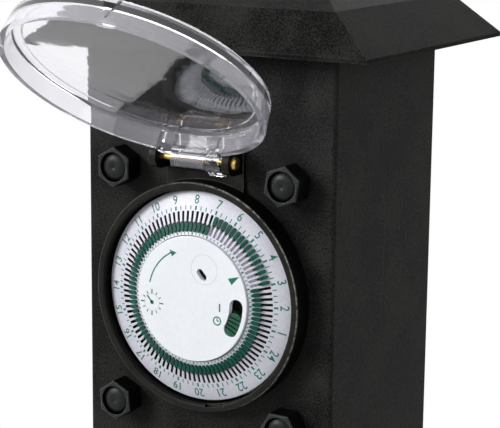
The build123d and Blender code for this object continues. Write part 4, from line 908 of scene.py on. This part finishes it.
def new_piece(name: str, mesh: bmesh.types.BMesh) -> bpy.types.Object:
    """Turn a bmesh into an object of the scene.

    Args:
        name: Name of the object.
        mesh: Its mesh, which is freed.

    Returns:
        The object.
    """
    data = bpy.data.meshes.new(name)
    mesh.to_mesh(data)
    mesh.free()
    piece = bpy.data.objects.new(name, data)
    bpy.context.scene.collection.objects.link(piece)
    return piece


@dataclass
class Column:
    """Shells, foot and roof: charcoal plastic from a spark-eroded mould, with a dark seam."""
    shells: tuple[str, ...] = ("front_shell", "rear_shell", "foot_plate")
    inner: tuple[str, ...] = ("top_plate", "gland_body", "gland_cap", "gland_locknut")
    screws: tuple[str, ...] = ("roof_screws", "shell_screws", "foot_screws")

    def dress(self, dresser: Dresser) -> None:
        """Give the column's pieces their finishes.

        Args:
            dresser: Makes and assigns the materials.
        """
        dresser.nodes(self.shells, Finish.COLUMN)
        dresser.nodes(("roof_cap",), Finish.ROOF)
        dresser.nodes(self.inner, Finish.BLACK)
        dresser.nodes(self.screws, Finish.STEEL)
        dresser.nodes(("gland_seal",), Finish.RUBBER)
        dresser.nodes(("terminal_block",), Finish.BLOCK)
        dresser.nodes(("terminal_screws",), Finish.STEEL)


@dataclass(frozen=True)
class Marks:
    """Prints and hairlines on the centre disc, from the timer's axis. Millimetres and degrees.

    A ray of the sun is its start, its end and its width. Points of the arrow's head and of the hand
    are a radius and an angle.
    """
    out: float = FRONT_Y - corners("dial_disc")[0][1]
    hairline_lift: float = 0.02
    stroke: float = 0.42
    arrow_radius: float = 16.2
    arrow_turns: Point = (117.5, 167.4)
    arrow_head: tuple[Point, ...] = ((15.6, 111.6), (17.25, 118.6), (14.95, 119.4))
    sun: Point = (-15.0, -3.0)
    sun_rays: int = 12
    long_ray_every: int = 3
    long_ray: tuple[float, float, float] = (2.85, 4.3, 0.42)
    short_ray: tuple[float, float, float] = (3.05, 3.85, 0.32)
    hand: Point = (2.7, 131)
    hand_width: float = 0.5
    hub_radius: float = 0.35
    triangle: tuple[Point, ...] = ((17.5, 9.6), (13.4, 8.5), (14.7, 6.65))
    on_stroke: tuple[Point, Point] = ((10.4, -2.64), (10.4, -0.05))
    on_width: float = 0.5
    clock: Point = (9.5, -5.7)
    clock_radius: float = 1.3
    clock_hands: tuple[Point, Point] = ((0.0, 0.85), (0.75, 0.0))
    clock_hand_width: float = 0.36
    window: Point = (4.6, 10.2)
    window_radius: float = 4.8
    window_line: float = 0.13
    sun_radius: float = 2.8
    sun_line: float = 0.16

    def height(self, radius: float) -> float:
        """How far the centre disc stands out of the face, which is the same all over.

        Args:
            radius: Distance from the timer's axis; not used.

        Returns:
            Distance out of the face.
        """
        return self.out

    def from_sun(self, reach: float, turn: float) -> Point:
        """Point at a reach and an angle from the middle of the sun.

        Args:
            reach: Distance from the sun's middle.
            turn: Angle in degrees.

        Returns:
            The point.
        """
        x, z = polar(reach, turn)
        return self.sun[0] + x, self.sun[1] + z

    def prints(self) -> bpy.types.Object:
        """Arrow, clock signs, pointer triangle and the stroke for on.

        Returns:
            The printed marks.
        """
        ink = Stencil()
        ink.arc((0, 0), self.arrow_radius, *self.arrow_turns, self.stroke)
        ink.patch([polar(*corner) for corner in self.arrow_head])
        for step in range(self.sun_rays):
            turn = 90 + 360 / self.sun_rays * step
            start, end, width = self.short_ray if step % self.long_ray_every else self.long_ray
            ink.bar(self.from_sun(start, turn), self.from_sun(end, turn), width)
        ink.bar(self.sun, self.from_sun(*self.hand), self.hand_width)
        ink.arc(self.sun, self.hub_radius, 0, 360, 2 * self.hub_radius, 16)
        ink.patch(self.triangle)
        ink.bar(*self.on_stroke, self.on_width)
        ink.arc(self.clock, self.clock_radius, 0, 360, self.stroke, 32)
        for x, z in self.clock_hands:
            ink.bar(self.clock, (self.clock[0] + x, self.clock[1] + z), self.clock_hand_width)
        return ink.lay("disc_marks", self.height)

    def hairlines(self) -> bpy.types.Object:
        """Faint moulded circles, drawn in the grey of painted shade: one near the disc's small window
        and one in the sun's ticks.

        Returns:
            The thin raised lines.
        """
        line = Stencil()
        line.arc(self.window, self.window_radius, 0, 360, self.window_line, 64)
        line.arc(self.sun, self.sun_radius, 0, 360, self.sun_line, 48)
        return line.lay("disc_circle", self.height, self.hairline_lift)


@dataclass
class Dial:
    """Dial ring, tappets and centre disc, with their prints. Millimetres and degrees."""
    hours: int = 24
    slots: int = 96
    top_turn: float = 90.98
    top_hour: int = 8
    number_radius: float = 31.65
    number_height: float = 2.8
    number_wide_share: float = 0.92
    outer_ticks: Point = (28.35, 29.6)
    inner_ticks: Point = (20.75, 21.5)
    hour_width: float = 0.62
    quarter_width: float = 0.34
    inner_width_share: float = 0.8
    marks: Marks = Marks()

    def cone(self, radius: float) -> float:
        """How far the dial's cone stands out of the face.

        Args:
            radius: Distance from the timer's axis.

        Returns:
            Distance out of the face.
        """
        return CONE_OUT - (CONE_OUT - CONE_RIM) * (radius - CONE_INNER) / (CONE_OUTER - CONE_INNER)

    def turn(self, hour: float) -> float:
        """Angle of an hour, which run anticlockwise.

        Args:
            hour: Hour, which may be a fraction.

        Returns:
            Angle in degrees.
        """
        return self.top_turn + (hour - self.top_hour) * 360 / self.hours

    def numbers(self) -> bpy.types.Object:
        """Hours from 1 to 24, with their tops outwards.

        Returns:
            The printed numbers.
        """
        ink = Stencil()
        for hour in range(1, self.hours + 1):
            ink.text(str(hour), self.number_height, self.number_wide_share, self.number_radius,
                     self.turn(hour))
        return ink.lay("dial_numbers", self.cone)

    def ticks(self, whole_hours: bool) -> bpy.types.Object:
        """Outer and inner ticks at the hours, or at the quarters between them.

        Args:
            whole_hours: True for the bold hour ticks.

        Returns:
            The printed ticks.
        """
        ink = Stencil()
        per_hour = self.slots // self.hours
        width = self.hour_width if whole_hours else self.quarter_width
        for step in range(self.slots):
            if (step % per_hour == 0) != whole_hours:
                continue
            turn = self.turn(step / per_hour)
            for (low, high), share in ((self.outer_ticks, 1.0), (self.inner_ticks,
                                                                 self.inner_width_share)):
                ink.bar(polar(low, turn), polar(high, turn), width * share)
        return ink.lay("hour_ticks" if whole_hours else "quarter_ticks", self.cone)

    def dress(self, dresser: Dresser) -> None:
        """Make the prints and give every piece its finish.

        Args:
            dresser: Makes and assigns the materials.
        """
        for piece, finish, body, slot in (
                (self.numbers(), Finish.INK, "dial_body", "tappet"),
                (self.ticks(True), Finish.INK, "dial_body", "tappet"),
                (self.ticks(False), Finish.PALE_INK, "dial_body", "tappet"),
                (self.marks.prints(), Finish.INK, "post", "tappet"),
                (self.marks.hairlines(), Finish.SHADE, "post", "disc")):
            dresser.finish(piece, finish)
            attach(piece, body)
            log.info("%s: %d faces", piece.name, len(piece.data.polygons))
        dresser.nodes(("dial_ring",), Finish.DIAL)
        dresser.nodes(("dial_disc",), Finish.DISC)
        dresser.nodes(("mode_slider",), Finish.SLIDER)
        dresser.nodes(("tappets_set", "tappets_unset", "tappet_a", "tappet_b", "tappet_c",
                       "tappet_d"), Finish.TAPPET)


@dataclass
class Timer:
    """Bezel, sleeves, lid, hinge and works of the timer."""
    white: tuple[str, ...] = ("timer_housing", "timer_cover", "transfer_gear", "switch_lever")
    steel: tuple[str, ...] = ("timer_screws", "transfer_pin", "motor")
    brass: tuple[str, ...] = ("hinge_pin", "motor_pinion", "timer_terminals")

    def dress(self, dresser: Dresser) -> None:
        """Give the timer's pieces their finishes.

        Args:
            dresser: Makes and assigns the materials.
        """
        dresser.nodes(("timer_bezel",), Finish.BEZEL)
        dresser.nodes(("hex_sleeves",), Finish.SLEEVE)
        dresser.nodes(("screw_caps",), Finish.CAP)
        dresser.nodes(("lid",), Finish.CLEAR)
        dresser.nodes(("hinge_coil",), Finish.WIRE)
        dresser.nodes(("timer_seal",), Finish.RUBBER)
        dresser.nodes(("microswitch",), Finish.BLACK)
        dresser.nodes(("switch_plunger",), Finish.PLUNGER)
        dresser.nodes(self.white, Finish.WHITE)
        dresser.nodes(self.steel, Finish.STEEL)
        dresser.nodes(self.brass, Finish.BRASS)


@dataclass
class Sockets:
    """The sockets below the timer."""
    count: int = 2

    def dress(self, dresser: Dresser) -> None:
        """Give the sockets' pieces their finishes.

        Args:
            dresser: Makes and assigns the materials.
        """
        for n in range(1, self.count + 1):
            dresser.nodes((f"socket_frame_{n}", f"socket_well_{n}", f"flap_{n}"), Finish.SOCKET)
            dresser.nodes((f"flap_seal_{n}",), Finish.RUBBER)
            dresser.nodes((f"flap_pin_{n}",), Finish.STEEL)
            dresser.nodes((f"flap_spring_{n}", f"earth_spring_{n}"), Finish.WIRE)
            dresser.nodes((f"contact_tubes_{n}",), Finish.BRASS)
        dresser.nodes(("socket_screws",), Finish.STEEL)


@dataclass(frozen=True)
class Lamp:
    """One soft square light aimed at the timer: place and side in metres, power in watts."""
    name: str
    place: Place
    side: float
    power: float


@dataclass
class Studio:
    """White studio: pale floor, soft lights and the photograph's camera."""
    yaw: float = 30.27
    pitch: float = 11.739
    roll: float = 0.571
    focal_px: float = 1717.45
    image_px: float = 500.0
    sensor_mm: float = 36.0
    target: Place = (15.98, FRONT_Y, TIMER_Z + 27.873)
    distance: float = 537.47
    clip_m: Point = (0.01, 30.0)
    floor_m: float = 6.0
    fade_m: Point = (0.16, 0.42)
    floor_seen: str = "#eeeeef"
    floor_bounce: str = "#787878"
    white: str = "#ffffff"
    world_light: float = 0.4
    world_seen: float = 1.0
    lamps: tuple[Lamp, ...] = (Lamp("key", (-1.3, -1.5, 1.1), 0.8, 38),
                               Lamp("fill", (1.6, -1.1, 0.9), 1.0, 6),
                               Lamp("top", (0.0, 0.2, 2.0), 1.2, 3),
                               Lamp("rear", (-0.6, 1.7, 0.9), 1.0, 12))

    def camera(self) -> None:
        """Put the camera where the photograph was taken from."""
        yaw, pitch, roll = (math.radians(a) for a in (self.yaw, self.pitch, self.roll))
        back = Vector((math.sin(yaw) * math.cos(pitch), -math.cos(yaw) * math.cos(pitch),
                       math.sin(pitch)))
        right = Vector((math.cos(yaw), math.sin(yaw), 0))
        up = back.cross(right)
        turned_right = right * math.cos(roll) + up * math.sin(roll)
        turned_up = up * math.cos(roll) - right * math.sin(roll)
        place = (Vector(self.target) + back * self.distance) * MM
        data = bpy.data.cameras.new("camera")
        data.sensor_width = self.sensor_mm
        data.lens = self.focal_px / self.image_px * self.sensor_mm
        data.clip_start, data.clip_end = self.clip_m
        camera = bpy.data.objects.new("camera", data)
        axes = Matrix((turned_right, turned_up, back)).transposed().to_4x4()
        camera.matrix_world = Matrix.Translation(place) @ axes
        bpy.context.scene.collection.objects.link(camera)
        bpy.context.scene.camera = camera

    def floor(self) -> None:
        """Pale floor that fades to plain white away from the post.

        It sends grey light back to the post, because a white one would light its dark sides.
        """
        mesh = bmesh.new()
        bmesh.ops.create_grid(mesh, x_segments=2, y_segments=2, size=self.floor_m)
        piece = new_piece("floor", mesh)
        t = Tree("studio_floor")
        fade = t.span(t.length(t.place()), self.fade_m, RISING)
        path = t.add("ShaderNodeLightPath").outputs
        seen = t.add("ShaderNodeMath", {0: path["Is Camera Ray"], 1: path["Is Transmission Ray"]},
                     operation="MAXIMUM").outputs[0]
        pale = t.mix(path["Is Diffuse Ray"], t.flat(self.floor_seen), t.flat(self.floor_bounce))
        matt = t.add("ShaderNodeBsdfDiffuse", {"Color": pale})
        white = t.add("ShaderNodeEmission", Color=srgb(self.white), Strength=1.0)
        both = t.blend(t.product(fade, seen), matt.outputs[0], white.outputs[0])
        piece.data.materials.append(t.close(both))

    def light(self, lamp: Lamp) -> None:
        """Hang one lamp.

        Args:
            lamp: Its name, place, side and power.
        """
        data = bpy.data.lights.new(lamp.name, "AREA")
        data.size = lamp.side
        data.energy = lamp.power
        hung = bpy.data.objects.new(lamp.name, data)
        aim = Vector((0, FRONT_Y * MM, TIMER_Z * MM)) - Vector(lamp.place)
        turned = aim.to_track_quat("-Z", "Y").to_matrix().to_4x4()
        hung.matrix_world = Matrix.Translation(lamp.place) @ turned
        bpy.context.scene.collection.objects.link(hung)

    def world(self) -> None:
        """Even white surroundings: pure white to the eye and in the lid, softer as light."""
        world = bpy.data.worlds.new("studio")
        world.use_nodes = True
        nodes, links = world.node_tree.nodes, world.node_tree.links
        nodes.clear()
        output = nodes.new("ShaderNodeOutputWorld")
        ground = nodes.new("ShaderNodeBackground")
        ground.inputs["Color"].default_value = srgb(self.white)
        path = nodes.new("ShaderNodeLightPath")
        strength = nodes.new("ShaderNodeMapRange")
        strength.inputs["To Min"].default_value = self.world_light
        strength.inputs["To Max"].default_value = self.world_seen
        seen = path.outputs["Is Camera Ray"]
        for kind in ("Is Transmission Ray", "Is Glossy Ray"):
            either = nodes.new("ShaderNodeMath")
            either.operation = "MAXIMUM"
            links.new(seen, either.inputs[0])
            links.new(path.outputs[kind], either.inputs[1])
            seen = either.outputs[0]
        links.new(seen, strength.inputs["Value"])
        links.new(strength.outputs["Result"], ground.inputs["Strength"])
        links.new(ground.outputs[0], output.inputs["Surface"])
        bpy.context.scene.world = world

    def build(self) -> None:
        """Set up the whole studio."""
        bpy.context.scene.view_settings.view_transform = "Standard"
        self.camera()
        self.floor()
        self.world()
        for lamp in self.lamps:
            self.light(lamp)
        log.info("studio ready")


def main() -> None:
    """Dress the post and light it."""
    logging.basicConfig(level=logging.INFO, format="%(name)s: %(message)s")
    dresser = Dresser()
    for assembly in (Column(), Dial(), Timer(), Sockets()):
        assembly.dress(dresser)
    Studio().build()


if __name__ == "__main__":
    main()
